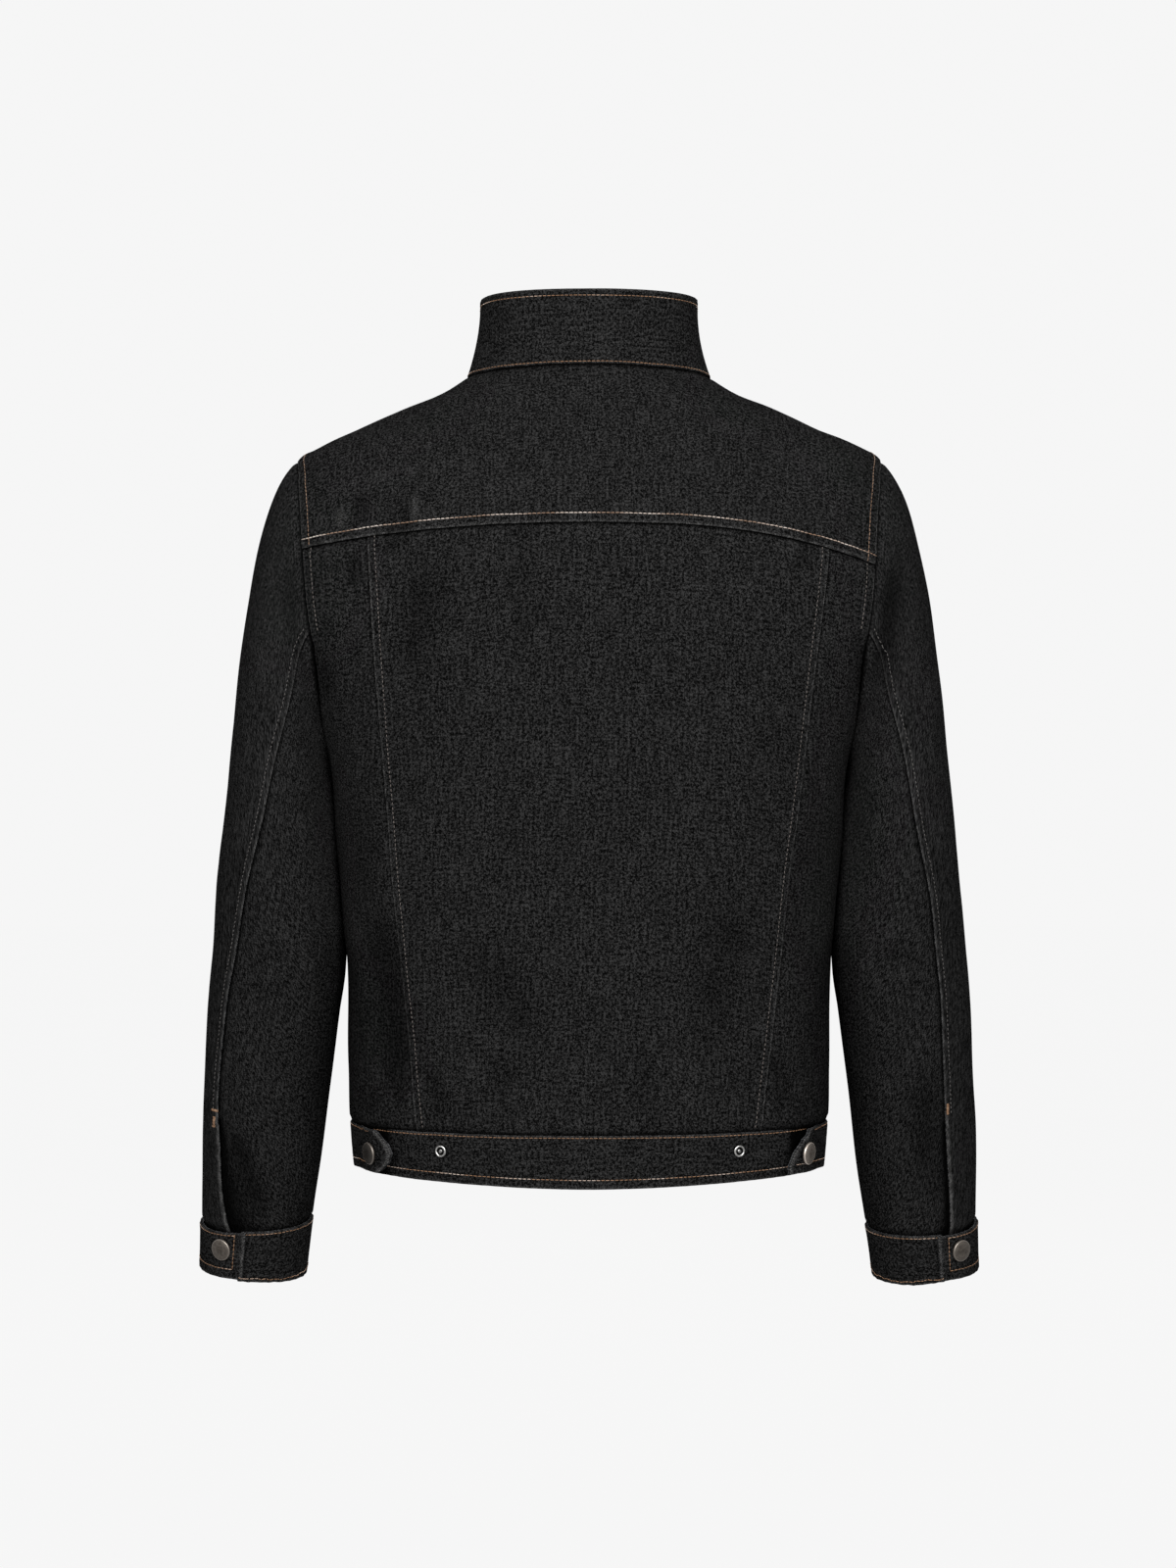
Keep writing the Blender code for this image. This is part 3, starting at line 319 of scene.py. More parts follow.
SEAM_STRIP = 0.0110         # width of the fine facets along a seam
FINE = 0.0009
COARSE = 0.0060
ALONG = 0.0024              # facets along the seams

# Distance of each row of stitches from its edge
YOKE_STITCH = 0.0068
BACK_STITCH = 0.0058
ARMHOLE_STITCH = 0.0082
SLEEVE_STITCH = 0.0052
BAND_TOP_STITCH = 0.0016
HEM_STITCH = 0.0068
CUFF_STITCH = 0.0076
CUFF_END_STITCH = 0.0084
TAB_STITCH = 0.0050
COLLAR_STITCH = 0.0050
COLLAR_FOOT_STITCH = 0.0014
PLACKET_STITCH = 0.0060
FRONT_YOKE_STITCH = 0.0060

STITCH = 0.0034             # from needle hole to needle hole
STITCH_GAP = 0.09           # share of it between two stitches
THREAD_RADIUS = 0.00033
THREAD_SIDES = 5
# The rings of one stitch, by their place along it
THREAD_COLUMNS = ("at", "height", "width")
THREAD_ROWS = (
    (0.00, -0.00035, 0.60),
    (0.16, 0.00012, 0.96),
    (0.50, 0.00030, 1.05),
    (0.84, 0.00012, 0.96),
    (1.00, -0.00035, 0.60),
)
BAR_STEP = 0.00050          # between the stitches of a bar tack
BAR_WIDTH = 0.0022
BAR_TONE = 1.2
THREAD_FLATTENED = 0.85     # height of the thread by its width

# How rows of stitches look: how faded the thread is, the share of a stitch that is under the cloth,
# how light the row is, and how stout the thread
LOOK_COLUMNS = ("grey", "gap", "tone", "thick")
LOOKS = {
    "plain": (0.00, STITCH_GAP, 1.00, 1.00),
    "back seam": (0.85, 0.34, 0.85, 1.00),
    "armhole": (0.85, 0.30, 0.85, 1.00),
    "yoke": (0.25, 0.05, 1.62, 1.25),
    "yoke armhole": (0.25, STITCH_GAP, 1.00, 1.00),
    "yoke front": (0.25, STITCH_GAP, 1.30, 1.00),
    "sleeve seam": (0.95, 0.34, 0.50, 1.00),
    "collar foot": (0.00, STITCH_GAP, 0.95, 1.00),
    "collar top": (0.00, STITCH_GAP, 1.25, 1.00),
    "hem": (0.00, STITCH_GAP, 1.45, 1.00),
    "cuff": (0.00, STITCH_GAP, 1.25, 1.00),
}

# The short ripples that a row of stitches draws, by their height and length and how they wander
RIPPLE_COLUMNS = ("height", "length", "phase", "bend", "bends")
RIPPLES = (
    (1.0, 0.0083, 0.0, 1.3, 61),
    (0.7, 0.0127, 2.0, 1.1, 37),
    (0.5, 0.0061, 0.4, 0.0, 0),
)

# Where a rubbed edge is lightest, how wide that is, and the waves of its strokes to a metre
EDGE_RUB = (0.0004, 0.0009, 2200)
CURL_RUB = (0.0011, 0.0012, 3100)
CURL_LIGHT = 1.5
FLAT_RISE = 0.0001          # rise of an edge that is folded, not turned
FURROW = 0.0004             # depth of the furrow along it, between its two layers
SINK_RUN = 0.0045           # length over which an edge sinks under its neighbour, and its slope
UNDER_SLOPE = 0.35          # beyond it
# painted shade on the part that is hidden under a neighbour
UNDER_DARK = 0.9
PLAIN_RUN = 0.0016          # length over which a plain edge falls off

# Camera: level, straight behind the jacket
CAMERA_Y = 2.4
CAMERA_Z = -0.3134
PIXEL = 0.000757            # metres to a pixel at the origin
PICTURE_HEIGHT = 1600
MIDDLE_SHIFT = 1.0 / PICTURE_HEIGHT     # the jacket hangs a pixel beside the picture's middle
SENSOR = 36.0

# Four softboxes, two behind the jacket and two in front, above it and aimed at its middle
BOX_OFF = 2.6
BOX_TURN = math.radians(20)
BOX_Z = 0.90
BOX_SIZE = (1.5, 2.0)
BOX_AIM = (0.0, 0.0, -0.33)
BOX_POWER = 150.0

FLOOR_Z = -1.05
FLOOR_RADIUS = 14
FLOOR_SIDES = 96

ARM_PRESS = 0.0022          # how far the sleeve is pressed in where it lies on the body
ARM_PRESS_UP = 0.0014       # and how much more just under the armpit
BODY_SPREAD = 0.0022        # how far the body's side stands out behind it
BODY_TOUCH = (11.0, 169.0)  # the angles of the body that the sleeves touch, and how wide that is
BODY_TOUCH_REACH = 7.5
ARM_SHADOW = 0.30           # painted shadow: how dark the body's sides are painted beside the arms
INNER_ARM_SHADOW = 0.32     # and the arms' inner sides

# How far the waistband is drawn in at the sides, at its top and foot
BAND_DRAW = (0.0053, 0.0010)

# How the cuff settles on the wrist, at its top edge and at its foot
SETTLE_COLUMNS = ("even", "tilt")
SETTLE_ROWS = {
    1: ((-0.0022, -0.0058), (0.0030, -0.0020)),
    -1: ((-0.0052, -0.0026), (0.0012, -0.0020)),
}

SLOPE_STEP = 1e-3           # for slopes and normals
TAPER_RUN = 0.02            # below the underarm, for the direction in which the sleeve goes on


def smooth(at, knots, values):
    """Cubic through the points (knots, values), its slope at each one taken from its neighbours."""
    at = np.clip(at, knots[0], knots[-1])
    slopes = np.gradient(values, knots)
    i = np.clip(np.searchsorted(knots, at) - 1, 0, len(knots) - 2)
    step = knots[i + 1] - knots[i]
    t = (at - knots[i]) / step
    start = (1 + 2 * t) * values[i] + t * step * slopes[i]
    end = (3 - 2 * t) * values[i + 1] + (t - 1) * step * slopes[i + 1]
    return (1 - t) ** 2 * start + t**2 * end


def read_row(rows, columns, at):
    """A dictionary of a table's columns at the heights "at", read off smooth curves."""
    table = np.array(rows)
    return {name: smooth(at, table[:, 0], table[:, i]) for i, name in enumerate(columns) if i}


def ease(t):
    """0 below 0 and 1 above 1, with a level start and end."""
    t = np.clip(t, 0.0, 1.0)
    return t * t * (3 - 2 * t)


def unit(vectors):
    return vectors / np.maximum(np.linalg.norm(vectors, axis=-1, keepdims=True), 1e-12)


def hump(x, reach):
    """1 at 0, falling off on both sides: exp(-(x / reach)^2)."""
    return np.exp(-((x / reach) ** 2))


def cos_sin(turn):
    return np.cos(np.radians(turn)), np.sin(np.radians(turn))


def oval(c, s, width, depth, power):
    """Radius of a superellipse towards (c, s): (|c / width|^n + |s / depth|^n)^(-1/n)."""
    return (np.abs(c / width) ** power + np.abs(s / depth) ** power) ** (-1 / power)


def oval_other(at, reach, size, power):
    """A superellipse's second coordinate from its first: size * (1 - |at / reach|^n)^(1/n)."""
    share = np.clip(np.abs(at) / reach, 0, 1)
    return size * (1 - share**power) ** (1 / power)


# ---------------------------------------------------------------- surfaces


def section(z):
    """The body's section at these heights."""
    return read_row(BODY_ROWS, BODY_COLUMNS, z)


def arm_section(z):
    """The left sleeve's section at these heights."""
    return read_row(SLEEVE_ROWS, SLEEVE_COLUMNS, z)


def body_depth(row, y):
    """How deep the body is behind its sides, where y is above 0, or in front of them."""
    return np.where(y > 0, row["back_y"] - row["side_y"], row["side_y"] - row["front_y"])


def body(turn, z):
    """Point of the body, a superellipse, at an angle (0 to the wearer's left, 90 to the back) and
    a height."""
    row = section(z)
    c, s = cos_sin(turn)
    radius = oval(c, s, row["half_width"], body_depth(row, s), row["square"])
    return np.stack([radius * c, row["side_y"] + radius * s, z + 0 * radius], axis=-1)


def body_turn_at_x(x, z, back=1):
    """Angle of the body's point that has this x and z, on the back (1) or the front (-1)."""
    row = section(z)
    y = oval_other(x, row["half_width"], body_depth(row, back), row["square"])
    return np.degrees(np.arctan2(back * y, x))


def body_turn_at_y(y, z):
    """Angle of the body's point on the wearer's left that has this y and z."""
    row = section(z)
    y = y - row["side_y"]
    x = oval_other(y, body_depth(row, y), row["half_width"], row["square"])
    return np.degrees(np.arctan2(y, x))


def body_under_plan(x, y):
    """(angle, height) of the body's point with this x and y, at or above the yoke, by halving."""
    low = np.full_like(x, YOKE_Z - 0.06)
    high = np.full_like(x, BODY_ROWS[-1][0])
    for _ in range(40):
        z = (low + high) / 2
        row = section(z)
        across = y - row["side_y"]
        depth = body_depth(row, across)
        power = row["square"]
        inside = np.abs(x / row["half_width"]) ** power + np.abs(across / depth) ** power < 1
        low = np.where(inside, z, low)
        high = np.where(inside, high, z)
    return pairs(np.degrees(np.arctan2(across, x)), z)


def armhole(turn):
    """(angle on the body, height) of the armhole seam at an angle round it."""
    c, s = cos_sin(turn)
    z = (ARMHOLE_TOP + ARMHOLE_BOTTOM) / 2 + c * (ARMHOLE_TOP - ARMHOLE_BOTTOM) / 2
    reach = np.where(s > 0, ARMHOLE_BACK, ARMHOLE_FRONT)
    y = ARMHOLE_Y + reach * s * (1 - ARMHOLE_SAG * c)
    return np.stack([body_turn_at_y(y, z), z], axis=-1)


def sleeve(turn, down):
    """Point of the left sleeve: turn is the angle round it. From down 0 to 1 each line runs from
    the armhole to the underarm section as a Hermite curve, and from 1 to 2 down to the cuff."""
    turn, down = np.broadcast_arrays(np.asarray(turn, float), np.asarray(down, float))
    c, s = cos_sin(turn)
    cuff_z = SLEEVE_ROWS[0][0]
    z = UNDERARM_Z + (cuff_z - UNDERARM_Z) * np.clip(down - 1, 0, 1)
    row = arm_section(z)
    above = arm_section(z + SLOPE_STEP)
    below = arm_section(z - SLOPE_STEP)
    lean = ease((UNDERARM_Z - z) / SLEEVE_LEAN_RUN)
    lean_x = lean * (above["centre_x"] - below["centre_x"]) / (2 * SLOPE_STEP)
    lean_x = lean_x - CUFF_TILT * ease((SLIT_Z - z) / (SLIT_Z - cuff_z))
    lean_y = lean * (above["centre_y"] - below["centre_y"]) / (2 * SLOPE_STEP)
    x = row["half_width"] * c
    y = row["half_depth"] * s
    up = z - lean_x * x - lean_y * y
    ring = np.stack([row["centre_x"] + x, row["centre_y"] + y, up], axis=-1)

    seam = armhole(turn)
    start = body(seam[..., 0], seam[..., 1])
    start[..., 0] += SEAM_GAP
    length = np.linalg.norm(ring - start, axis=-1, keepdims=True)
    steeper = UNDERARM_PITCH * (1 - c) / 2 * (1 - PITCH_EVEN * np.abs(s))
    pitch = np.radians(SHOULDER_PITCH + steeper)
    leave = np.stack([np.cos(pitch), SLEEVE_FLARE * s, -np.sin(pitch)], axis=-1)
    leave = leave * length * SLEEVE_HEAD
    lower = arm_section(np.array(UNDERARM_Z - TAPER_RUN))
    upper = arm_section(np.array(UNDERARM_Z))
    taper = {name: (lower[name] - upper[name]) / TAPER_RUN for name in lower}
    arrive_x = taper["centre_x"] + taper["half_width"] * c
    arrive_y = taper["centre_y"] + taper["half_depth"] * s
    arrive = np.stack([arrive_x, arrive_y, -1 + 0 * c], axis=-1) * length * SLEEVE_FALL
    t = np.clip(down, 0, 1)[..., None]
    head = (
        (1 + 2 * t) * (1 - t) ** 2 * start
        + t * (1 - t) ** 2 * leave
        + t**2 * (3 - 2 * t) * ring
        + t**2 * (t - 1) * arrive
    )
    return np.where(down[..., None] >= 1, ring, head)


def arm_touch(z):
    """Where the arms hang against the body's sides: 1 from the armpit down, fading out above the
    opening between sleeve and body."""
    return ease((z + 0.455) / 0.035) * ease((-0.235 - z) / 0.05)


def settled(points, side):
    """The lower sleeve and the cuff, whose edges tilt differently on each arm. Across the arm, from
    its inner side (-1) to its outer side (1), a point moves up by even + tilt * place."""
    z = points[..., 2]
    row = arm_section(np.clip(z, SLEEVE_ROWS[0][0], UNDERARM_Z))
    place = np.clip((points[..., 0] - row["centre_x"]) / row["half_width"], -1.2, 1.2)
    share = np.clip((CUFF_TOP - z) / (CUFF_TOP - CUFF_BOTTOM), 0, 1)
    top, foot = (dict(zip(SETTLE_COLUMNS, values)) for values in SETTLE_ROWS[side])
    even_rise = top["even"] + (foot["even"] - top["even"]) * share
    tilt = top["tilt"] + (foot["tilt"] - top["tilt"]) * share
    moved = points.copy()
    moved[..., 2] += (even_rise + tilt * place) * ease((SLIT_Z - z) / (SLIT_Z - CUFF_TOP))
    return moved


def sleeve_down(z):
    """The "down" value of the sleeve's section at this height."""
    return 1 + (z - UNDERARM_Z) / (SLEEVE_ROWS[0][0] - UNDERARM_Z)


def cuff_surface(turn, z):
    return sleeve(turn, sleeve_down(z))


def neckline(turn):
    """Height of the neck seam at an angle on the body."""
    s = np.sin(np.radians(turn))
    back = NECK_BACK - NECK_SIDE
    front = NECK_FRONT - NECK_SIDE
    return NECK_SIDE + back * np.clip(s, 0, 1) + front * np.clip(-s, 0, 1) ** NECK_DROP


def collar(turn, up):
    """Point of the collar, from the neck seam (up 0) to its top edge (up 1)."""
    c, s = cos_sin(turn)
    up = np.asarray(up, float)[..., None]
    foot = body(turn, neckline(turn)) + outward(body, turn, neckline(turn)) * YOKE_PROUD
    fall = ease((COLLAR_FALL_START - s) / (1 + COLLAR_FALL_START))
    depth = np.where(s > 0, COLLAR_BACK_Y, -COLLAR_FRONT_Y)
    radius = oval(c, s, COLLAR_WIDTH, depth, COLLAR_SQUARE)
    height = COLLAR_BACK + (COLLAR_FRONT - COLLAR_BACK) * fall
    top = np.stack([radius * c, radius * s, height], axis=-1)
    out = np.stack([c, s, 0 * c], axis=-1)
    stand = np.array([0, 0, COLLAR_STAND]) * (1 - up)
    return foot + (top - foot) * up - out * COLLAR_HOLLOW * 4 * up * (1 - up) + stand


def outward(surface, a, b):
    """Unit normals of surface(a, b), from small steps in each parameter."""
    across = surface(a + SLOPE_STEP, b) - surface(a - SLOPE_STEP, b)
    along = surface(a, b + SLOPE_STEP) - surface(a, b - SLOPE_STEP)
    return unit(np.cross(across, along))


def raised(surface, lift):
    """The surface moved out by lift, a function of the angle."""

    def moved(turn, z):
        return surface(turn, z) + outward(surface, turn, z) * lift(turn)[..., None]

    return moved


def sink(points, normals, part):
    """How deep the folds and creases of the body or a sleeve lie at these points, and how steep
    they are there: each is a trough across its line, depth * exp(-(distance / reach)^2), which
    fades over a share of its length at each end."""
    depth = np.zeros(points.shape[:-1])
    steep = np.zeros(points.shape[:-1])
    for row in FOLDS + CREASES:
        fold = dict(zip(FOLD_COLUMNS, row))
        if fold["on"] != part:
            continue
        run_x = fold["end_x"] - fold["start_x"]
        run_z = fold["end_z"] - fold["start_z"]
        length = math.hypot(run_x, run_z)
        x = points[..., 0] - fold["start_x"]
        z = points[..., 2] - fold["start_z"]
        along = (x * run_x + z * run_z) / length**2
        across = (x * run_z - z * run_x) / length
        ends = ease(along / FOLD_END) * ease((1 - along) / FOLD_END)
        facing = np.clip(normals[..., 1] * fold["face"], 0, 1)
        trough = fold["depth"] * hump(across, fold["reach"]) * ends * facing
        depth += trough
        steep += trough / fold["reach"]
    return depth, steep


def waves(points):
    """Slow unevenness of the cloth, a sum of sines of the place."""
    height = 0.0
    for row in WAVES:
        wave = dict(zip(WAVE_COLUMNS, row))
        cycles = np.array([wave["across"], wave["deep"], wave["up"]])
        height = height + wave["height"] * np.sin(2 * math.pi * (points @ cycles) + wave["phase"])
    return height


# ---------------------------------------------------------------- grids


def pairs(turn, z):
    turn, z = np.broadcast_arrays(turn, z)
    return np.stack([turn, z], axis=-1)


def line(start, end, t):
    """Points from start to end at the shares t."""
    return np.asarray(start) + (np.asarray(end) - np.asarray(start)) * t[:, None]


def even(length, step=ALONG):
    """Shares from 0 to 1 of a length, a step apart."""
    return np.linspace(0, 1, max(2, round(length / step)) + 1)


def graded(length, coarse=COARSE):
    """Shares from 0 to 1 of a length, close together near both ends, where the seams are."""
    near = np.concatenate([EDGE_STEPS, np.arange(EDGE_STEPS[-1] + FINE, SEAM_STRIP, FINE)])
    near = near * min(1.0, 0.45 * length / near[-1])
    count = max(1, round((length - 2 * near[-1]) / coarse))
    middle = np.linspace(near[-1], length - near[-1], count + 1)[1:-1]
    return np.concatenate([near, middle, length - near[::-1]]) / length


def coons(u, v, bottom, top, left, right):
    """Grid of points between four edges, each an array of points along u or v."""
    u = u[None, :, None]
    v = v[:, None, None]
    blend = (1 - v) * bottom[None] + v * top[None] + (1 - u) * left[:, None] + u * right[:, None]
    low = (1 - u) * bottom[0] + u * bottom[-1]
    high = (1 - u) * top[0] + u * top[-1]
    return blend - (1 - v) * low - v * high


def stacked(u, low, high, bottom, top, left, right):
    """Two grids as one, parted by a straight row. low and high are the heights in each."""
    at = len(low) - 1
    row = line(left[at], right[at], u)
    under = coons(u, low, bottom, row, left[: at + 1], right[: at + 1])
    over = coons(u, high, row, top, left[at:], right[at:])
    return np.concatenate([under, over[1:]])


def mirrored(edge):
    """The same edge on the other side of the body."""
    return edge * (-1, 1) + (180, 0)


def numbered(shape):
    """The numbers of a grid's points."""
    return np.arange(math.prod(shape)).reshape(shape)


def cells(index):
    """The four corners of each cell of a numbered grid."""
    corners = [index[:-1, :-1], index[:-1, 1:], index[1:, 1:], index[1:, :-1]]
    return np.stack(corners, -1).reshape(-1, 4)


def distances(path):
    """How far along a path each of its points is."""
    return np.concatenate([[0], np.cumsum(np.linalg.norm(np.diff(path, axis=0), axis=1))])


def places_on(path, at):
    """The places at these distances along a path."""
    return np.stack([np.interp(at, distances(path), path[:, i]) for i in range(3)], -1)


def measured(points, path):
    """Distance from each point to a path, and how far along the path its nearest place is."""
    flat = points.reshape(-1, 3)
    run = np.diff(path, axis=0)
    length = np.maximum(np.linalg.norm(run, axis=1), 1e-9)
    passed = np.concatenate([[0], np.cumsum(length)])
    nearest = np.full(len(flat), 1e9)
    along = np.zeros(len(flat))
    for start, leg, size, before in zip(path[:-1], run, length, passed[:-1]):
        t = np.clip((flat - start) @ leg / size**2, 0, 1)
        distance = np.linalg.norm(flat - start - t[:, None] * leg, axis=1)
        closer = distance < nearest
        nearest[closer] = distance[closer]
        along[closer] = before + t[closer] * size
    return nearest.reshape(points.shape[:-1]), along.reshape(points.shape[:-1])


# ---------------------------------------------------------------- cloth


class Panel:
    """A sheet of cloth on a grid of base points and their outward normals. Its outer face stands
    off them by "height", and each seam adds to that as a function of the distance from it."""

    def __init__(self, name, points, normals, thickness=LAYER, lift=0.0, side=1):
        self.name = name
        self.points = points * (side, 1, 1)
        self.normals = normals * (side, 1, 1)
        self.side = side
        self.thickness = thickness
        shape = points.shape[:2]
        self.height = np.zeros(shape) + lift
        self.rim = np.full(shape, 1.0)
        self.ridge, self.sunk, self.wear, self.dark = (np.zeros(shape) for _ in range(4))
        self.seams = {}
        self.tree = None

    # lightens the cloth: worn edges, and painted highlights on ridges and where the arms lie on the
    # body
    def lighten(self, share):
        self.wear = np.maximum(self.wear, share)

    def darken(self, share):
        self.dark = np.maximum(self.dark, share)

    def edge(self, where, first=0, last=None):
        """(points, normals, inward directions) along one edge, or along part of it."""
        take = {
            "left": (np.s_[:, 0], np.s_[:, 6]),
            "right": (np.s_[:, -1], np.s_[:, -7]),
            "bottom": (np.s_[0], np.s_[6]),
            "top": (np.s_[-1], np.s_[-7]),
        }[where]
        last = len(self.points[take[0]]) if last is None else last
        path = self.points[take[0]][first:last]
        inner = self.points[take[1]][first:last]
        normals = self.normals[take[0]][first:last]
        tangent = unit(np.gradient(path, axis=0))
        inward = inner - path
        inward = inward - tangent * (inward * tangent).sum(-1, keepdims=True)
        inward = inward - normals * (inward * normals).sum(-1, keepdims=True)
        return path, normals, unit(inward)

    def turn_in(self, where, stitch, rise=RISE, pucker=PUCKER, wear=1.0, seam=None, span=(0, None)):
        """A turned edge along one side or a span of it, which is kept for its stitches."""
        self.seams[seam or where] = self.edge(where, *span)
        self.over(self.seams[seam or where][0], stitch, rise, pucker, wear)

    def over(self, path, stitch, rise=RISE, pucker=PUCKER, wear=1.0):
        """A turned edge that lies on its neighbour: thicker up to its stitches, with a dent along
        them, and puckered by them."""
        gap, along = measured(self.points, path)
        self.rim = np.minimum(self.rim, gap)
        plateau = 1 - ease((gap - stitch - 0.0004) / FALL_RUN)
        self.ridge = np.maximum(self.ridge, rise * plateau)
        self.pucker(gap, along, stitch, pucker)
        self.lighten(wear * rubbed_edge(gap, along, *EDGE_RUB))

    def curl(self, seam, share=1.0):
        """Rubs a curled edge, where the twill shows across it in short strokes."""
        gap, along = measured(self.points, self.seams[seam][0])
        self.lighten(share * CURL_LIGHT * rubbed_edge(gap, along, *CURL_RUB))

    def pucker(self, gap, along, stitch, amount):
        """The dent along a row of stitches, and the short ripples that the thread draws."""
        self.height -= GROOVE * hump(gap - stitch, GROOVE_REACH)
        slant = along + 0.5 * gap
        ripple = 0.0
        for row in RIPPLES:
            wave = dict(zip(RIPPLE_COLUMNS, row))
            wander = wave["phase"] + wave["bend"] * np.sin(along * wave["bends"])
            ripple = ripple + wave["height"] * np.sin(2 * math.pi * slant / wave["length"] + wander)
        self.height += amount * ripple * hump(gap - 0.6 * stitch, 0.5 * stitch + PUCKER_REACH / 2)

    def under(self, path, beyond, depth=SINK):
        """An edge that passes under its neighbour."""
        gap, _ = measured(self.points, path)
        share = np.where(beyond, 1.0, 1 - ease((gap - ROUNDING) / SINK_RUN))
        self.sunk = np.maximum(self.sunk, depth * share)
        # painted shade where the edge is hidden under its neighbour, and a painted shadow beside
        # the neighbour's edge
        self.darken(np.where(beyond, UNDER_DARK, hump(gap, SHADOW_REACH) * SHADOW))

    def plain(self, where, depth=0.0005, last=None):
        """A plain seam or free edge, rounded off."""
        gap, _ = measured(self.points, self.edge(where, 0, last)[0])
        self.rim = np.minimum(self.rim, gap)
        self.sunk = np.maximum(self.sunk, depth * np.exp(-gap / PLAIN_RUN))

    def fold(self, part, fade=1.0, wave_fade=1.0):
        """Adds the folds, the creases and the slow unevenness of the cloth. Folds get painted
        shade,
        FOLD_SHADE * (1 - exp(-steepness / FOLD_STEEP)), and ridges get a painted highlight."""
        depth, steep = sink(self.points, self.normals, part)
        steep = steep * fade
        self.height -= depth * fade
        self.height += waves(self.points) * wave_fade
        # painted shade in the folds, and a painted highlight on the ridges
        self.darken(FOLD_SHADE * (1 - np.exp(-np.maximum(steep, 0) / FOLD_STEEP)))
        self.lighten(RIDGE_HIGHLIGHT * ease(-steep / RIDGE_STEEP))

    def extend(self, where, reach):
        """Carries the grid on past one edge, going deeper, and returns which points are new."""
        axis = 0 if where in ("bottom", "top") else 1
        first = where in ("bottom", "left")
        take = (lambda i: i) if first else (lambda i: -1 - i)
        edge = np.take(self.points, take(0), axis)
        inner = np.take(self.points, take(5), axis)
        away = unit(edge - inner)
        normal = np.take(self.normals, take(0), axis)
        away = away - UNDER_SLOPE * normal
        new = [edge + away * reach * share for share in (0.33, 0.66, 1.0)]
        for key in ("points", "normals", "height", "ridge", "sunk", "rim", "wear", "dark"):
            values = getattr(self, key)
            added = new if key == "points" else [np.take(values, take(0), axis)] * 3
            added = np.stack(added[::-1] if first else added, axis)
            parts = [added, values] if first else [values, added]
            setattr(self, key, np.concatenate(parts, axis))
        beyond = np.zeros(self.height.shape, bool)
        at = [slice(None)] * 2
        at[axis] = slice(0, 3) if first else slice(-3, None)
        beyond[tuple(at)] = True
        return beyond

    def tuck(self, *sides):
        """Carries sides on under their neighbours: (side, reach, depth) each, and where only part
        of one has a neighbour, the point its seam starts at and how many points are free."""
        rows = [(*side, 0, 0)[:5] for side in sides]
        paths = [self.edge(where, start)[0] for where, _, _, start, _ in rows]
        for path, (where, reach, depth, _, free) in zip(paths, rows):
            beyond = self.extend(where, reach)
            (beyond if where in ("left", "right") else beyond.T)[:free] = False
            self.under(path, beyond, depth)

    def faces_out(self):
        """The outer face's height, rounded off at its rim: r - sqrt(r^2 - (r - distance)^2)."""
        r = min(ROUNDING, self.thickness * 0.48)
        inset_by = np.clip(r * 0.95 - self.rim, 0, r)
        rounding = r - np.sqrt(np.maximum(r**2 - inset_by**2, 0))
        return self.height + self.ridge - self.sunk, rounding

    def build(self, slot, material, layers, grain):
        """The closed mesh: outer grid, inner grid, and a rim strip between them, with a furrow in
        it where the edge shows two folded layers."""
        height, rounding = self.faces_out()
        self.outer = self.points + self.normals * (height - rounding)[..., None]
        inner = self.points + self.normals * (height - self.thickness + rounding)[..., None]
        index = numbered(height.shape)
        around = np.concatenate([index[0], index[1:, -1], index[-1, -2::-1], index[-2:0:-1, 0]])
        vertices = [self.outer.reshape(-1, 3), inner.reshape(-1, 3)]
        faces = [cells(index), cells(index)[:, ::-1] + index.size]
        rings = [around, around + index.size]
        if layers == 2:
            middle = (vertices[0][around] + vertices[1][around]) / 2
            vertices.append(middle + self.inward(index, around) * FURROW)
            rings.insert(1, np.arange(len(around)) + 2 * index.size)
        for low, high in zip(rings[1:], rings[:-1]):
            faces.append(np.stack([low, np.roll(low, -1), np.roll(high, -1), high], -1))
        faces = np.concatenate(faces)[:, :: self.side].tolist()
        piece = mesh_piece(f"{self.name}_cloth", np.concatenate(vertices), faces, slot, material)
        self.paint(piece.data, around, grain)
        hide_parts(self.name)
        return piece

    def inward(self, index, around):
        """Directions into the panel from each point of its rim."""
        rows, columns = index.shape
        r, c = np.divmod(around, columns)
        inner = index[np.clip(r, 4, rows - 5), np.clip(c, 4, columns - 5)]
        flat = self.points.reshape(-1, 3)
        return unit(flat[inner] - flat[around])

    def steps(self):
        """Lengths of the grid's steps along its rows, and along its columns."""
        return [np.linalg.norm(np.diff(self.points, axis=axis), axis=-1) for axis in (1, 0)]

    def paint(self, mesh, around, grain):
        """UV in metres, from the lengths along the grid, how worn a point is and its painted
        highlight, how inside it is, and its painted shade.
        """
        rows, columns = self.height.shape
        across, along = self.steps()
        u = np.concatenate([np.zeros((rows, 1)), np.cumsum(across, 1)], 1)
        u = u - u[:, columns // 2 : columns // 2 + 1]
        v = np.concatenate([np.zeros((1, columns)), np.cumsum(along, 0)], 0)
        v = v - v[-1:]
        if grain == "level":
            u = self.points[..., 0] * 1.05
            v = self.points[..., 2] - 0.6 * self.points[..., 1]
        uv = np.stack([u, v] if grain != "across" else [v, u], -1).reshape(-1, 2)
        count = rows * columns
        number = np.arange(len(mesh.vertices))
        own = np.concatenate([number[:count], number[:count], around])[: len(number)]
        loops = np.empty(len(mesh.loops), np.int32)
        mesh.loops.foreach_get("vertex_index", loops)
        layer = mesh.uv_layers.new(name="Cloth")
        layer.data.foreach_set("uv", uv[own[loops]].astype(np.float32).ravel())
        rest = np.zeros(len(number) - count)
        mark(mesh, "wear", np.concatenate([self.wear.ravel(), rest]))
        mark(mesh, "inside", (number >= count) & (number < 2 * count))
        mark(mesh, "dark", np.concatenate([self.dark.ravel(), rest]))

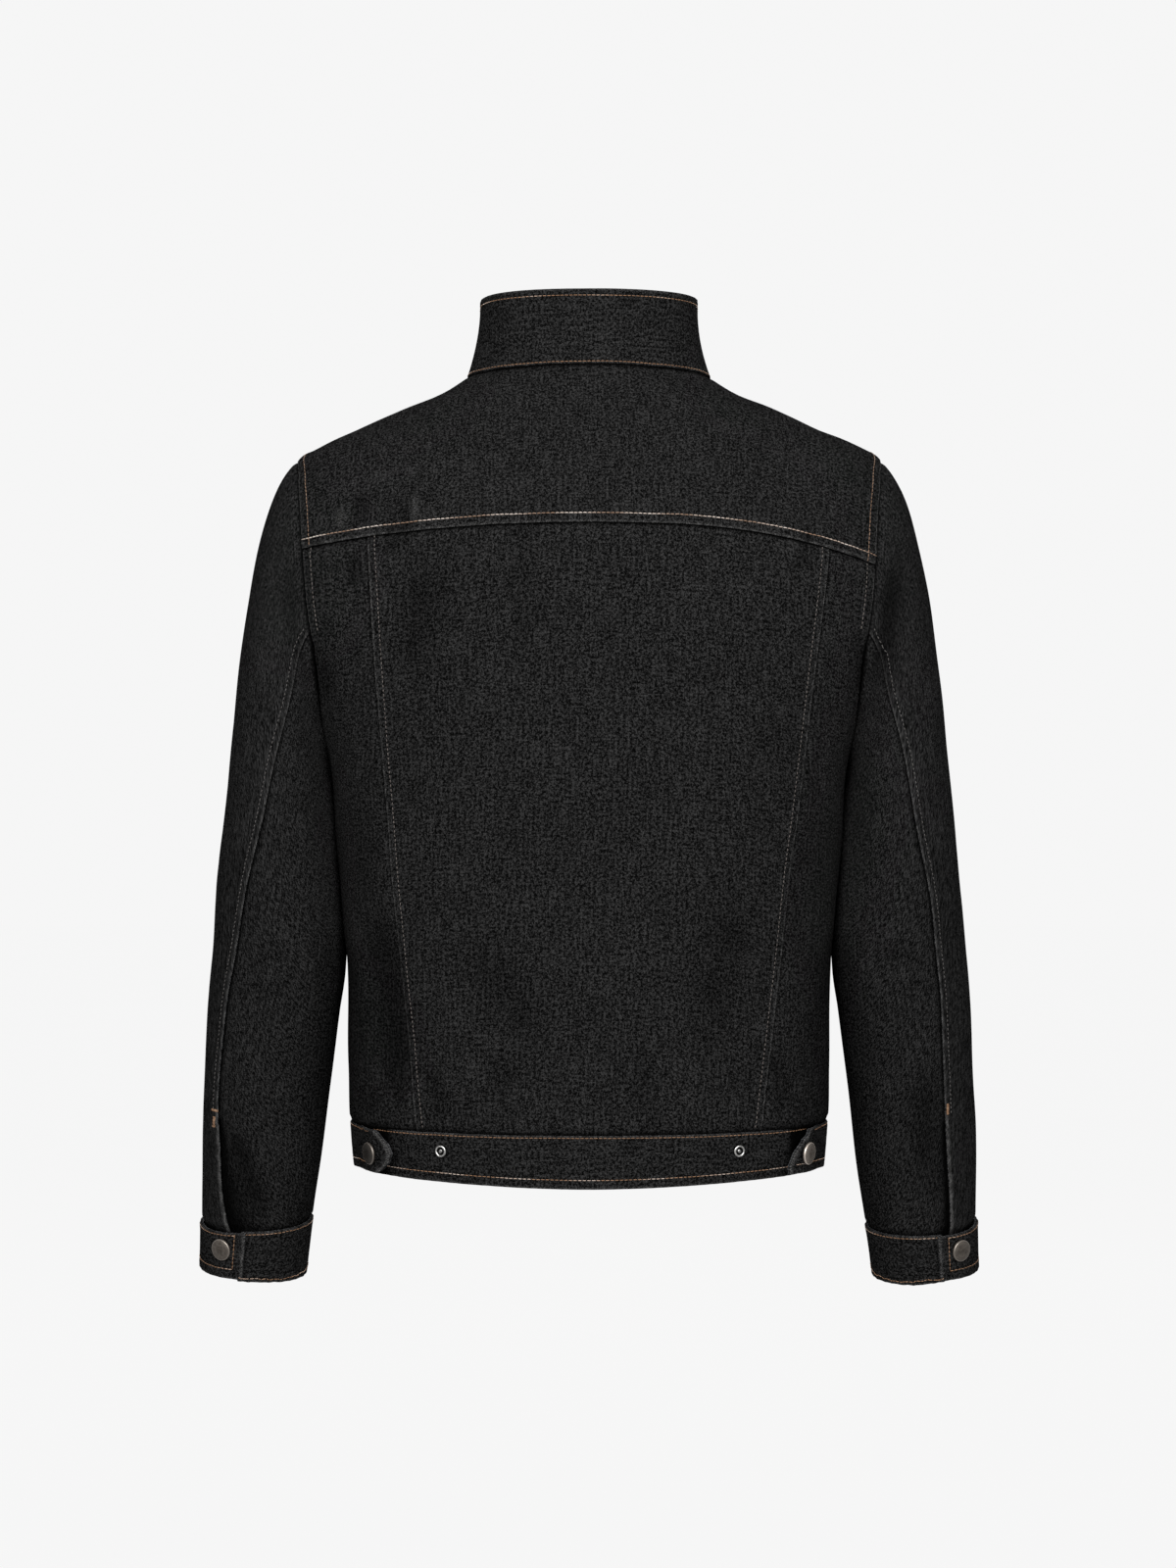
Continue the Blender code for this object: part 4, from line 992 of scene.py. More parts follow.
    def cut(self):
        """(flat size, area) of the cut: the widest row, the longest column and the grid's area."""
        across, along = self.steps()
        d1 = self.points[1:, 1:] - self.points[:-1, :-1]
        d2 = self.points[1:, :-1] - self.points[:-1, 1:]
        area = np.linalg.norm(np.cross(d1, d2), axis=-1).sum() / 2
        return (across.sum(1).max(), along.sum(0).max()), area

    def seat(self, points):
        """The places on the outer face nearest to these points, and its normals there."""
        if self.tree is None:
            faces = cells(numbered(self.outer.shape[:2])).tolist()
            self.tree = BVHTree.FromPolygons(self.outer.reshape(-1, 3).tolist(), faces)
        found = [self.tree.find_nearest(p) for p in points.tolist()]
        places = np.array([hit[0] for hit in found])
        normals = np.array([hit[1] for hit in found])
        return places, normals * self.side


def rubbed_edge(gap, along, at, reach, strokes):
    """How light a rubbed edge is: a hump beside it, in short strokes across it."""
    return hump(gap - at, reach) * (0.65 + 0.35 * np.sin(along * strokes))


def mark(mesh, name, values):
    """A number at each point of a mesh, which its material reads."""
    attribute = mesh.attributes.new(name, "FLOAT", "POINT")
    attribute.data.foreach_set("value", values.astype(np.float32))


def mesh_piece(name, vertices, faces, slot, material):
    """One shown piece, which rides on the model's only body."""
    mesh = bpy.data.meshes.new(name)
    mesh.from_pydata(vertices.tolist(), [], faces)
    mesh.shade_smooth()
    mesh.materials.append(material)
    piece = bpy.data.objects.new(name, mesh)
    bpy.context.scene.collection.objects.link(piece)
    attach(piece, "root")
    return piece


# ---------------------------------------------------------------- seam lines


def yoke_height(x, side):
    """Height of the back yoke seam at a distance from the middle."""
    return YOKE_Z - YOKE_DROP[side] * (np.abs(x) / YOKE_REACH) ** YOKE_CURVE[side]


def yoke_seam(x):
    """The back yoke seam at the distances x from the middle, the wearer's left positive."""
    z = np.where(x > 0, yoke_height(x, 1), yoke_height(x, -1))
    return pairs(body_turn_at_x(x, z), z)


def back_junction(side):
    """Where the back yoke seam ends on the armhole: its angle round it and its distance out."""
    turn = np.linspace(30, 80, 401)
    on_hole = armhole(turn)
    x = body(on_hole[:, 0], on_hole[:, 1])[:, 0]
    best = np.argmin(np.abs(on_hole[:, 1] - yoke_height(x, side)))
    return turn[best], x[best]


def back_seam(t, side):
    """One of the two back seams, from the waistband (t 0) up to the yoke (t 1)."""
    top_x = BACK_SEAM_TOP[side]
    top_z = yoke_height(top_x, side)
    z = BAND_Z + (top_z - BAND_Z) * t
    bow = BACK_SEAM_BOW[side] * np.sin(math.pi * t)
    x = BACK_SEAM_BOTTOM + (top_x - BACK_SEAM_BOTTOM) * t + bow
    return pairs(body_turn_at_x(x, z), z)


def side_seam(t):
    """The side seam, from the waistband up to the underarm."""
    return line((SIDE_SEAM_TURN, BAND_Z), armhole(np.array(180.0)), t)


def on_body(name, grid, thickness=LAYER, lift=0.0, side=1, surface=body):
    """A panel on the body, or on another surface of the same two parameters."""
    turn, z = grid[..., 0], grid[..., 1]
    panel = Panel(name, surface(turn, z), outward(surface, turn, z), thickness, lift, side)
    if surface is body:
        around = np.minimum(np.abs(turn - BODY_TOUCH[0]), np.abs(turn - BODY_TOUCH[1]))
        touch = hump(around, BODY_TOUCH_REACH) * arm_touch(z)
        panel.height += BODY_SPREAD * touch
        # painted highlight where the arms lie on the body's sides
        panel.wear = CONTACT_LIGHT * touch
    return panel


def folded(panel):
    """A body panel with its folds, and painted shadow on its sides beside the arms."""
    panel.fold("body")
    out = np.abs(panel.points[..., 0])
    low = ease((-0.27 - panel.points[..., 2]) / 0.10)
    # painted shadow of the arms on the body's sides
    panel.darken(ARM_SHADOW * ease((out - 0.140) / 0.045) * low)
    return panel


def band_body(turn, z):
    """The body under the waistband, drawn in at the sides."""
    points = body(turn, z)
    share = ease((np.abs(points[..., 0]) / section(z)["half_width"] - 0.72) / 0.26)
    fall = np.clip((BAND_Z - z) / (BAND_Z - HEM_Z), 0, 1)
    draw = BAND_DRAW[0] + (BAND_DRAW[1] - BAND_DRAW[0]) * fall
    points[..., 0] -= np.sign(points[..., 0]) * share * draw
    return points


# ---------------------------------------------------------------- stitches


def inset(edge, distance):
    """The path at a distance inside an edge."""
    path, _, inward = edge
    return path + inward * distance


def reach_out(path, before, after):
    """The path made longer at each end, or shorter where a length is below 0."""
    end = distances(path)[-1] - max(0.0, -after)
    path = places_on(path, np.linspace(max(0.0, -before), end, len(path)))
    parts = [path]
    if before > 0:
        parts.insert(0, (path[0] + unit(path[0] - path[3]) * before)[None])
    if after > 0:
        parts.append((path[-1] + unit(path[-1] - path[-4]) * after)[None])
    return np.concatenate(parts)


def resampled(path, step):
    """Points along the path, about a step apart, so that they end where it ends."""
    length = distances(path)[-1]
    return places_on(path, np.linspace(0, length, max(2, round(length / step) + 1)))


class Thread:
    """Stitches of thread, gathered from many seams into one piece."""

    def __init__(self, name):
        self.name = name
        self.rows = []

    def add(self, starts, ends, normals, *looks):
        looks = [np.zeros(len(starts)) + look for look in looks]
        self.rows.append((starts, ends, normals, *looks))

    def sew(self, panel, seam, stitch, look="plain", ends=None):
        """A row of stitches at a distance from a seam's edge, seated on the panel's outer face,
        with the lengths that it is longer than the seam at its ends."""
        path = inset(panel.seams[seam], stitch)
        if ends:
            path = reach_out(path, *ends)
        row = dict(zip(LOOK_COLUMNS, LOOKS[look]))
        holes, normals = panel.seat(resampled(path, STITCH))
        run = holes[1:] - holes[:-1]
        gap = run * row["gap"] / 2
        sway = 0.22 * np.sin(np.arange(len(run)) * 0.41) * min(row["tone"], 1.0)
        facing = unit(normals[1:] + normals[:-1])
        starts, ends = holes[:-1] + gap, holes[1:] - gap
        self.add(starts, ends, facing, row["grey"], row["tone"] + sway, row["thick"])

    def bar(self, panel, start, end, width):
        """A bar tack: short stitches packed side by side across a line."""
        count = max(3, round(float(np.linalg.norm(end - start)) / BAR_STEP))
        places, normals = panel.seat(line(start, end, np.linspace(0, 1, count)))
        half = unit(np.cross(normals, unit(end - start))) * width / 2
        self.add(places - half, places + half, normals, 0.0, BAR_TONE, 1.0)

    def build(self, material):
        """Each stitch is a tube of five rings that dives into the cloth at both ends."""
        start, end, normal, grey, tone, thick = (np.concatenate(part) for part in zip(*self.rows))
        run = end - start
        side = unit(np.cross(run, normal))
        up = unit(np.cross(side, run))
        angle = np.arange(THREAD_SIDES) / THREAD_SIDES * 2 * math.pi
        spoke = side[:, None] * np.cos(angle)[None, :, None]
        spoke = spoke + up[:, None] * np.sin(angle)[None, :, None] * THREAD_FLATTENED
        radius = THREAD_RADIUS * thick[:, None, None]
        rings = []
        for row in THREAD_ROWS:
            ring = dict(zip(THREAD_COLUMNS, row))
            centre = start + run * ring["at"] + up * ring["height"]
            rings.append(centre[:, None] + spoke * radius * ring["width"])
        vertices = np.stack(rings, 1)
        index = numbered(vertices.shape[:3])
        onward = np.roll(index, -1, axis=2)
        quads = np.stack([index[:, :-1], onward[:, :-1], onward[:, 1:], index[:, 1:]], -1)
        faces = quads.reshape(-1, 4).tolist()
        faces += index[:, 0, ::-1].tolist() + index[:, -1].tolist()
        piece = mesh_piece(self.name, vertices.reshape(-1, 3), faces, "topstitch", material)
        uneven = 0.5 + 0.5 * np.modf(np.sin(np.arange(len(run)) * 12.9898) * 437.5)[0]
        for name, values in (("shade", tone - 0.5 * uneven), ("grey", grey)):
            mark(piece.data, name, np.repeat(values, len(THREAD_ROWS) * THREAD_SIDES))


# ---------------------------------------------------------------- materials


def rgba(*levels, times=1.0):
    """A colour for a socket. One level alone is a grey."""
    return (*(level * times for level in (levels * 3)[:3]), 1.0)


class Value:
    """A number in a shader. Arithmetic on it adds Math nodes."""

    def __init__(self, finish, output):
        self.finish = finish
        self.output = output

    def math(self, operation, first, second=0.0):
        return self.finish.node("ShaderNodeMath", {"operation": operation}, [first, second])

    def __add__(self, other):
        return self.math("ADD", self, other)

    def __radd__(self, other):
        return self.math("ADD", other, self)

    def __sub__(self, other):
        return self.math("SUBTRACT", self, other)

    def __rsub__(self, other):
        return self.math("SUBTRACT", other, self)

    def __mul__(self, other):
        return self.math("MULTIPLY", self, other)

    def __rmul__(self, other):
        return self.math("MULTIPLY", other, self)

    def __truediv__(self, other):
        return self.math("DIVIDE", self, other)

    def __pow__(self, other):
        return self.math("POWER", self, other)

    def sine(self):
        return self.math("SINE", self)

    def between(self, low, high):
        """0 below low and 1 above high, smooth in between."""
        ramp = {"interpolation_type": "SMOOTHSTEP"}
        return self.finish.node("ShaderNodeMapRange", ramp, [self, low, high, 0.0, 1.0])


class Finish:
    """One material, built from plain calls."""

    def __init__(self, name, **constants):
        self.material = bpy.data.materials.new(name)
        self.material.use_nodes = True
        self.tree = self.material.node_tree
        self.shader = self.tree.nodes["Principled BSDF"]
        for socket, value in constants.items():
            self.shader.inputs[socket.replace("_", " ")].default_value = value

    def feed(self, socket, value):
        if isinstance(value, Value):
            self.tree.links.new(value.output, socket)
        else:
            socket.default_value = value

    def node(self, kind, settings=None, inputs=(), output=0):
        """A node of this kind, its settings first, then its inputs in order or by name."""
        made = self.tree.nodes.new(kind)
        for name, value in (settings or {}).items():
            setattr(made, name, value)
        pairs_in = inputs.items() if isinstance(inputs, dict) else enumerate(inputs)
        for key, value in pairs_in:
            self.feed(made.inputs[key], value)
        return Value(self, made.outputs[output])

    def attribute(self, name):
        return self.node("ShaderNodeAttribute", {"attribute_name": name}, (), 2)

    def place(self):
        return self.node("ShaderNodeTexCoord", None, (), 3)

    def mix(self, first, second, share):
        settings = {"data_type": "RGBA"}
        return self.node("ShaderNodeMix", settings, {0: share, 6: first, 7: second}, 2)

    def noise(self, vector, scale, detail=2.0):
        values = {"Vector": vector, "Scale": scale, "Detail": detail, "Roughness": 0.6}
        return self.node("ShaderNodeTexNoise", None, values)

    def give(self, socket, value):
        self.feed(self.shader.inputs[socket], value)

    def bump(self, height, distance, strength=1.0):
        values = {"Strength": strength, "Distance": distance, "Height": height}
        self.give("Normal", self.node("ShaderNodeBump", None, values))


def denim():
    """Raw black denim: dark warp in a right-hand twill, lighter weft showing as flecks, slubs along
    the warp, and paler cloth inside, lighter where worn and under painted highlights, darker under
    painted shade. Lengths are in millimetres, from the UV map."""
    f = Finish("denim", Metallic=0.0, Specular_IOR_Level=0.0)
    uv = f.node("ShaderNodeUVMap", {"uv_map": "Cloth"})
    across = f.node("ShaderNodeSeparateXYZ", None, [uv], 0) * 1000.0
    up = f.node("ShaderNodeSeparateXYZ", None, [uv], 1) * 1000.0

    def grains(wide, tall, offset, detail, low, high):
        at = f.node("ShaderNodeCombineXYZ", None, [across / wide, up / tall, offset])
        return f.noise(at, 1.0, detail).between(low, high)

    wobble = grains(2.6, 3.4, 5.0, 2.0, 0.0, 1.0)
    phase = across / 1.05 - up / 1.70 + wobble * 1.6
    twill = (phase * (2 * math.pi)).sine() * 0.5 + 0.5
    fleck = grains(0.85, 1.20, 0.0, 1.0, 0.42, 0.66)
    speck = grains(1.9, 2.3, 3.0, 2.0, 0.38, 0.62)
    slub = grains(2.2, 21.0, 7.0, 2.0, 0.40, 0.66)
    cross = grains(17.0, 1.4, 17.0, 2.0, 0.40, 0.68)
    broad = grains(50.0, 70.0, 11.0, 2.0, 0.25, 0.75)
    weft = (1.0 - twill) * 0.20 + fleck * 0.48 + speck * 0.50 + slub * 0.22 + cross * 0.14
    wear, inside, dark = (f.attribute(name) for name in ("wear", "inside", "dark"))
    shade = (weft * (0.97 + broad * 0.06)).between(0.27, 1.50)
    face = f.mix(rgba(0.0006), rgba(0.0154, 0.0153, 0.0153), shade)
    # lighter at worn edges, and painted highlight on ridges and where the arms lie on the body
    face = f.mix(face, rgba(0.0420, 0.0414, 0.0408), wear * (0.15 + fleck * 0.75))
    back = f.mix(rgba(0.012, 0.0122, 0.0128), rgba(0.052, 0.053, 0.055), shade)
    # painted shade: folds, beside seams, under the tabs, beside the slits and by the arms
    f.give("Base Color", f.mix(f.mix(face, back, inside), rgba(0.0004), dark))
    f.give("Roughness", 0.94 - fleck * 0.08)
    f.bump(twill * 0.5 + fleck * 0.5, 0.00022, 0.6)
    return f.material


def thread():
    """Polyester thread from copper to faded grey and cream, each stitch a little lighter or darker
    than the next."""
    f = Finish("thread", Metallic=0.0, Specular_IOR_Level=0.08)
    shade = f.attribute("shade")
    twist = f.noise(f.place(), 2600.0, 2.0).between(0.35, 0.65)
    light = twist * 0.4 + shade * 0.6
    copper = f.mix(rgba(0.032, 0.016, 0.009), rgba(0.105, 0.060, 0.034), light)
    faded = f.mix(rgba(0.016, 0.0155, 0.015), rgba(0.056, 0.055, 0.054), light)
    cream = (shade - 1.0).between(0.0, 1.0)
    worn = f.mix(copper, faded, f.attribute("grey"))
    f.give("Base Color", f.mix(worn, rgba(0.230, 0.205, 0.185), cream))
    f.give("Roughness", 0.50 + twist * 0.2)
    return f.material


def gunmetal(name, tone, rim=1.0):
    """Antique snap cap: brushed, duller in the middle, worn bright on the rim. Tone is how light
    its face is and rim how light its rim; the tab caps take copies darkened by painted shade and
    lightened by a painted highlight."""
    f = Finish(name, Metallic=0.80, Specular_IOR_Level=0.10)
    cloud = f.noise(f.place(), 420.0, 4.0).between(0.3, 0.7)
    grit = f.noise(f.place(), 3200.0, 2.0)
    rubbed = f.attribute("rubbed")
    dull = rgba(0.034, 0.029, 0.025, times=tone)
    warm = rgba(0.066, 0.057, 0.049, times=tone)
    bright = rgba(0.160, 0.142, 0.125, times=rim)
    f.give("Base Color", f.mix(f.mix(dull, warm, cloud), bright, rubbed * 0.6))
    f.give("Roughness", 0.44 + grit * 0.14 - rubbed * 0.14)
    f.bump(grit, 0.00005, 0.5)
    return f.material


def steel():
    """Bright nickel of the spare snap rings, with painted shade in their hollow and round their
    foot.
    """
    f = Finish("steel", Metallic=1.0)
    cloud = f.noise(f.place(), 900.0, 3.0).between(0.3, 0.7)
    open_share = (f.attribute("rubbed") * 2.0).between(0.0, 1.0)
    plain = f.mix(rgba(0.150, 0.148, 0.143), rgba(0.340, 0.336, 0.328), cloud)
    # painted shade: near black where the profile's third column is low, in the hollow and round the
    # foot
    f.give("Base Color", f.mix(rgba(0.006), plain, open_share))
    f.give("Roughness", 0.24 + cloud * 0.16)
    f.bump(cloud, 0.00003, 0.4)
    return f.material


# ---------------------------------------------------------------- panels


def back_panels():
    """The centre back, whose turned edges lie on the two side backs."""
    rows = even(0.45)
    u = graded(0.30)
    left = back_seam(rows, 1)
    right = mirrored(back_seam(rows, -1))
    top = yoke_seam(BACK_SEAM_TOP[1] - (BACK_SEAM_TOP[1] + BACK_SEAM_TOP[-1]) * u)
    grid = coons(u, rows, line(left[0], right[0], u), top, left, right)
    centre = folded(on_body("back_center", grid))
    for where in ("left", "right"):
        centre.turn_in(where, BACK_STITCH)
    centre.tuck(BEHIND_YOKE, BEHIND_BAND)
    yield centre

    low = even(0.275)
    high = even(0.19)
    at = np.concatenate([BACK_UNDERARM * low, BACK_UNDERARM + (1 - BACK_UNDERARM) * high[1:]])
    u = graded(0.075)
    for side, name in SIDES.items():
        turn, out = back_junction(side)
        hole = 180 + (turn - 180) * high
        left = np.concatenate([side_seam(low), armhole(hole)[1:]])
        right = back_seam(at, side)
        x = out + (BACK_SEAM_TOP[side] - out) * u
        z = yoke_height(x, side)
        top = pairs(body_turn_at_x(x, z), z)
        grid = stacked(u, low, high, line(left[0], right[0], u), top, left, right)
        panel = folded(on_body(f"back_side_{name}", grid, side=side))
        joint = len(low) - 1 + np.argmin(np.abs(hole - SLEEVE_SEAM_TURN))
        panel.turn_in("left", ARMHOLE_STITCH, seam="armhole", span=(joint, None))
        panel.plain("left", last=joint + 1)
        panel.tuck(BEHIND_YOKE, ("right", UNDER_REACH, SINK), BEHIND_BAND)
        yield panel


def front_panels():
    """The fronts, from the side seam to the front edge, and the placket strip on the left one."""
    low = even(0.24)
    high = even(0.28)
    u = graded(0.24)
    neck_z = neckline(-90.0)
    start_turn = body_turn_at_x(-FRONT_EDGE, neck_z, -1)
    corner = np.array([NECK_CORNER, neckline(NECK_CORNER)])
    half = np.searchsorted(u, 0.5)
    neck = start_turn + (NECK_CORNER - start_turn) * u[:half] / u[half]
    rest = (u[half:] - u[half]) / (1 - u[half])
    shoulder = line(corner, armhole(np.array(-YOKE_FRONT_TURN)), rest)
    top = np.concatenate([pairs(neck, neckline(neck)), shoulder])
    hole = armhole(180 + (360 - YOKE_FRONT_TURN - 180) * high)
    right = np.concatenate([side_seam(low), hole[1:]])
    under = BAND_Z + (FRONT_UNDERARM_Z - BAND_Z) * low
    over = FRONT_UNDERARM_Z + (neckline(start_turn) - FRONT_UNDERARM_Z) * high
    z = np.concatenate([under, over[1:]])
    left = pairs(body_turn_at_x(-FRONT_EDGE, z, -1), z)
    grid = stacked(u, low, high, line(left[0], right[0], u), top, left, right)
    x = body(grid[..., 0], grid[..., 1])[..., 0]
    row = len(low) - 1
    for side, name in SIDES.items():
        tuck = FRONT_TUCK * ease((TUCK_START - x) / TUCK_RUN) if side < 0 else 0.0
        panel = folded(on_body(f"front_{name}", grid, lift=-tuck, side=side))
        panel.turn_in("right", ARMHOLE_STITCH, seam="armhole", span=(row, None))
        panel.plain("right", last=row + 1)
        panel.plain("left", 0.0)
        panel.plain("top", 0.0004, half)
        panel.tuck(("top", NECK_IN, SINK, half, half), BEHIND_BAND)
        yield panel

    x = PLACKET_INSET - FRONT_EDGE + PLACKET_WIDTH * graded(PLACKET_WIDTH)[None, :]
    top = neckline(body_turn_at_x(x, neck_z, -1)) - LAP_GAP * 2
    foot = BAND_Z + SEAM_GAP
    z = foot + (top - foot) * even(0.51)[:, None]
    grid = pairs(body_turn_at_x(x, z, -1), z)
    placket = on_body("placket", grid, LAYER * 1.3, PLACKET_PROUD)
    for where in ("left", "right"):
        placket.turn_in(where, PLACKET_STITCH, RISE * 0.4)
    for where in ("top", "bottom"):
        placket.plain(where, 0.0002)
    yield placket


def yoke_panel():
    """The yoke, a band round the neck from one front seam to the other, worked out in plan. Its
    turned edge lies on the backs, the sleeves and the fronts."""
    side_t = even(0.125)
    back_t = even(0.43, 0.0021)
    v = graded(0.13)
    middle = YOKE_SIDE_SHARE + (1 - 2 * YOKE_SIDE_SHARE) * back_t[1:-1]
    u = np.concatenate([YOKE_SIDE_SHARE * side_t, middle, 1 - YOKE_SIDE_SHARE * side_t[::-1]])
    (left_turn, left_x), (right_turn, right_x) = (back_junction(side) for side in SIDES)
    left_hole, right_hole = (
        armhole(-YOKE_FRONT_TURN + (turn + YOKE_FRONT_TURN) * side_t)
        for turn in (left_turn, right_turn)
    )
    x = left_x - (left_x + right_x) * back_t[1:-1]
    outer = np.concatenate([left_hole, yoke_seam(x), mirrored(right_hole)[::-1]])
    corners = (NECK_CORNER, YOKE_NECK_TURN, 180 - YOKE_NECK_TURN, 180 - NECK_CORNER)
    turn = np.interp(u, (0, YOKE_SIDE_SHARE, 1 - YOKE_SIDE_SHARE, 1), corners)
    neck = pairs(turn, neckline(turn))
    left = line(outer[0], neck[0], v)
    right = line(outer[-1], neck[-1], v)
    edges = (body(edge[:, 0], edge[:, 1])[:, :2] for edge in (outer, neck, left, right))
    plan = coons(u, v, *edges)
    grid = body_under_plan(plan[..., 0], plan[..., 1])
    grid[grid[..., 0] < -90, 0] += 360
    grid[0] = outer
    yoke = folded(on_body("back_yoke", grid, lift=YOKE_LIFT))
    first = len(side_t) - 1
    last = len(side_t) + len(back_t) - 3
    seams = (
        ("armhole_left", "bottom", (0, first + 1), ARMHOLE_STITCH),
        ("back", "bottom", (first, last + 2), YOKE_STITCH),
        ("armhole_right", "bottom", (last + 1, None), ARMHOLE_STITCH),
        ("front_left", "left", (0, None), FRONT_YOKE_STITCH),
        ("front_right", "right", (0, None), FRONT_YOKE_STITCH),
    )
    for seam, where, span, stitch in seams:
        yoke.turn_in(where, stitch, seam=seam, span=span)
    yoke.tuck(("top", COLLAR_IN, COLLAR_IN_SINK))
    yield yoke


def collar_panel():
    """The stand-up collar, open at the front, with close rows at its ends."""
    turn = np.linspace(-90 + COLLAR_SPLIT, 270 - COLLAR_SPLIT, 215)
    ends = np.array([0.03, 0.1, 0.25, 0.45])
    turn = np.concatenate([turn[:1], turn[0] + ends, turn[1:-1], turn[-1] - ends[::-1], turn[-1:]])
    turn, up = np.meshgrid(turn, graded(0.058))
    panel = Panel("collar", collar(turn, up), outward(collar, turn, up), COLLAR_CLOTH)
    panel.height += waves(panel.points) * 0.9
    panel.turn_in("bottom", COLLAR_FOOT_STITCH, FLAT_RISE, PUCKER * 0.7, 0.5)
    panel.turn_in("top", COLLAR_STITCH, FLAT_RISE, PUCKER * 0.7, 0.5)
    for where in ("left", "right"):
        panel.turn_in(where, COLLAR_STITCH, FLAT_RISE, PUCKER * 0.4, 0.5)
    yield panel


def band_lift(turn):
    """How far the front waistband stands off the body at an angle."""
    step = BACK_BAND_TURN - 1 - TAB_STEP_TURN
    over_back = (BAND_CLOTH + LAP_GAP) * ease((turn - TAB_STEP_TURN) / step)
    end = body_turn_at_x(TAB_END, np.array(BAND_Z))
    return YOKE_PROUD + over_back + TAB_LIFT * ease((turn - end + TAB_CURL) / TAB_CURL)


def band_grid(turn, height):
    """A waistband grid, whose lower edge dips towards the middle of the back."""
    hem = HEM_Z - HEM_DIP * np.clip(np.sin(np.radians(turn)), 0, 1) ** 2
    return pairs(turn, hem + (BAND_Z - SEAM_GAP - hem) * height)


def hemmed(panel, foot_stitch):
    """The two long edges of a waistband or a cuff."""
    panel.turn_in("top", BAND_TOP_STITCH, FLAT_RISE, PUCKER, 0.6)
    panel.turn_in("bottom", foot_stitch, FLAT_RISE, PUCKER, 0.6)


def waistband():
    """The back waistband, and the two front ones, whose ends lie over it as tabs."""
    height = graded(0.036)[:, None]
    turn = np.linspace(BACK_BAND_TURN, 180 - BACK_BAND_TURN, 190)[None, :]
    grid = band_grid(turn, height)
    back = on_body("waistband_back", grid, BAND_CLOTH, YOKE_PROUD, surface=band_body)
    tab = np.abs(body(grid[..., 0], grid[..., 1])[..., 0])
    # painted shadow of the tabs on the ends of the back band
    back.darken(0.95 * ease((tab - TAB_END + TAB_SHADE) / (TAB_SHADE * 0.8)))
    back.height += waves(back.points) * BAND_WAVES
    hemmed(back, HEM_STITCH)
    for where in ("left", "right"):
        back.plain(where, 0.0)
    yield back
    start = body_turn_at_x(-FRONT_EDGE, np.array(BAND_Z), -1)
    across = graded(0.27, ALONG)[None, :]
    for side, name in SIDES.items():
        end = body_turn_at_x(TAB_END, np.array(BAND_Z))
        end = end + TAB_BULGE[side] * np.sin(math.pi * height) - TAB_SLANT[side] * (height - 0.5)
        grid = band_grid(start + (end - start) * across, height)
        rise = ease((grid[..., 0] - end + 2 * TAB_CURL) / (2 * TAB_CURL))
        grid[..., 1] += TAB_RISE * rise * (1 - height)
        x = body(grid[..., 0], grid[..., 1])[..., 0]
        tuck = BAND_TUCK * ease((TUCK_START - x) / TUCK_RUN) if side < 0 else 0.0
        lift = band_lift(grid[..., 0]) - tuck
        panel = on_body(f"waistband_{name}", grid, BAND_CLOTH, lift, side, band_body)
        hemmed(panel, HEM_STITCH)
        panel.turn_in("right", TAB_STITCH, FLAT_RISE, PUCKER * 1.5, 1.3, seam="tab")
        panel.curl("tab")
        panel.plain("left", 0.0)
        yield panel


def sleeve_panels():
    """Each sleeve's upper and under panels. Along the slit one lifts and the other sinks."""
    head = even(0.24)
    arm = 1 + (sleeve_down(SLIT_Z) - 1) * even(0.231)[1:]
    foot = sleeve_down(CUFF_TOP + SEAM_GAP / 2)
    opening = arm[-1] + (foot - arm[-1]) * even(0.084, 0.002)[1:]
    down = np.concatenate([head, arm, opening])[::-1][:, None]
    below = UNDERARM_Z + (SLEEVE_ROWS[0][0] - UNDERARM_Z) * (down - 1)
    height = np.where(down < 1, sleeve(SLEEVE_SEAM_TURN, down)[..., 2], below)
    opened = np.clip((SLIT_Z - height) / (SLIT_Z - CUFF_TOP), 0, 1)
    into_cuff = ("bottom", WRIST_IN, WRIST_IN_SINK)
    under_yoke = ("top", UNDER_REACH, SINK)
    slit_top = len(opening)
    for side, name in SIDES.items():
        seam = read_row(SEAM_ROWS, SEAM_COLUMNS, np.minimum(height, SEAM_ROWS[-1][0]))[name]
        lap = SLIT_LAP * ease((opened - 0.15) / 0.85)

        turn = INNER_SEAM_TURN + (seam - INNER_SEAM_TURN) * graded(0.16)
        lift = SLIT_LIFT * opened * ease((turn - seam) / SLIT_SPREAD + 1)
        upper = sleeve_panel(f"sleeve_upper_{name}", turn, down, lift, side)
        upper.over(upper.edge("right")[0], SLEEVE_STITCH)
        upper.seams["seam"] = upper.edge("right", slit_top - 1)
        upper.seams["slit"] = upper.edge("right", 0, slit_top)
        upper.curl("slit")
        upper.plain("left")
        upper.tuck(under_yoke, into_cuff)
        yield upper

        turn = (seam - lap) + (INNER_SEAM_TURN + 360 - seam + lap) * graded(0.13)
        lift = -SLIT_SINK * ease(opened * 6) * ease((seam - turn) / SLIT_SPREAD + 1)
        under = sleeve_panel(f"sleeve_under_{name}", turn, down, lift, side)
        under.plain("right")
        # painted shadow beside the slit, on the under panel
        gap, _ = measured(under.points, upper.seams["slit"][0])
        low = np.broadcast_to(opened, gap.shape)
        top_reach, foot_reach = SLIT_SHADE[side]
        shade = hump(gap, top_reach + (foot_reach - top_reach) * low**1.3)
        under.darken(0.92 * shade * ease(low * 12))
        under.tuck(("left", UNDER_REACH, SINK, slit_top - 1, slit_top), under_yoke, into_cuff)
        yield under


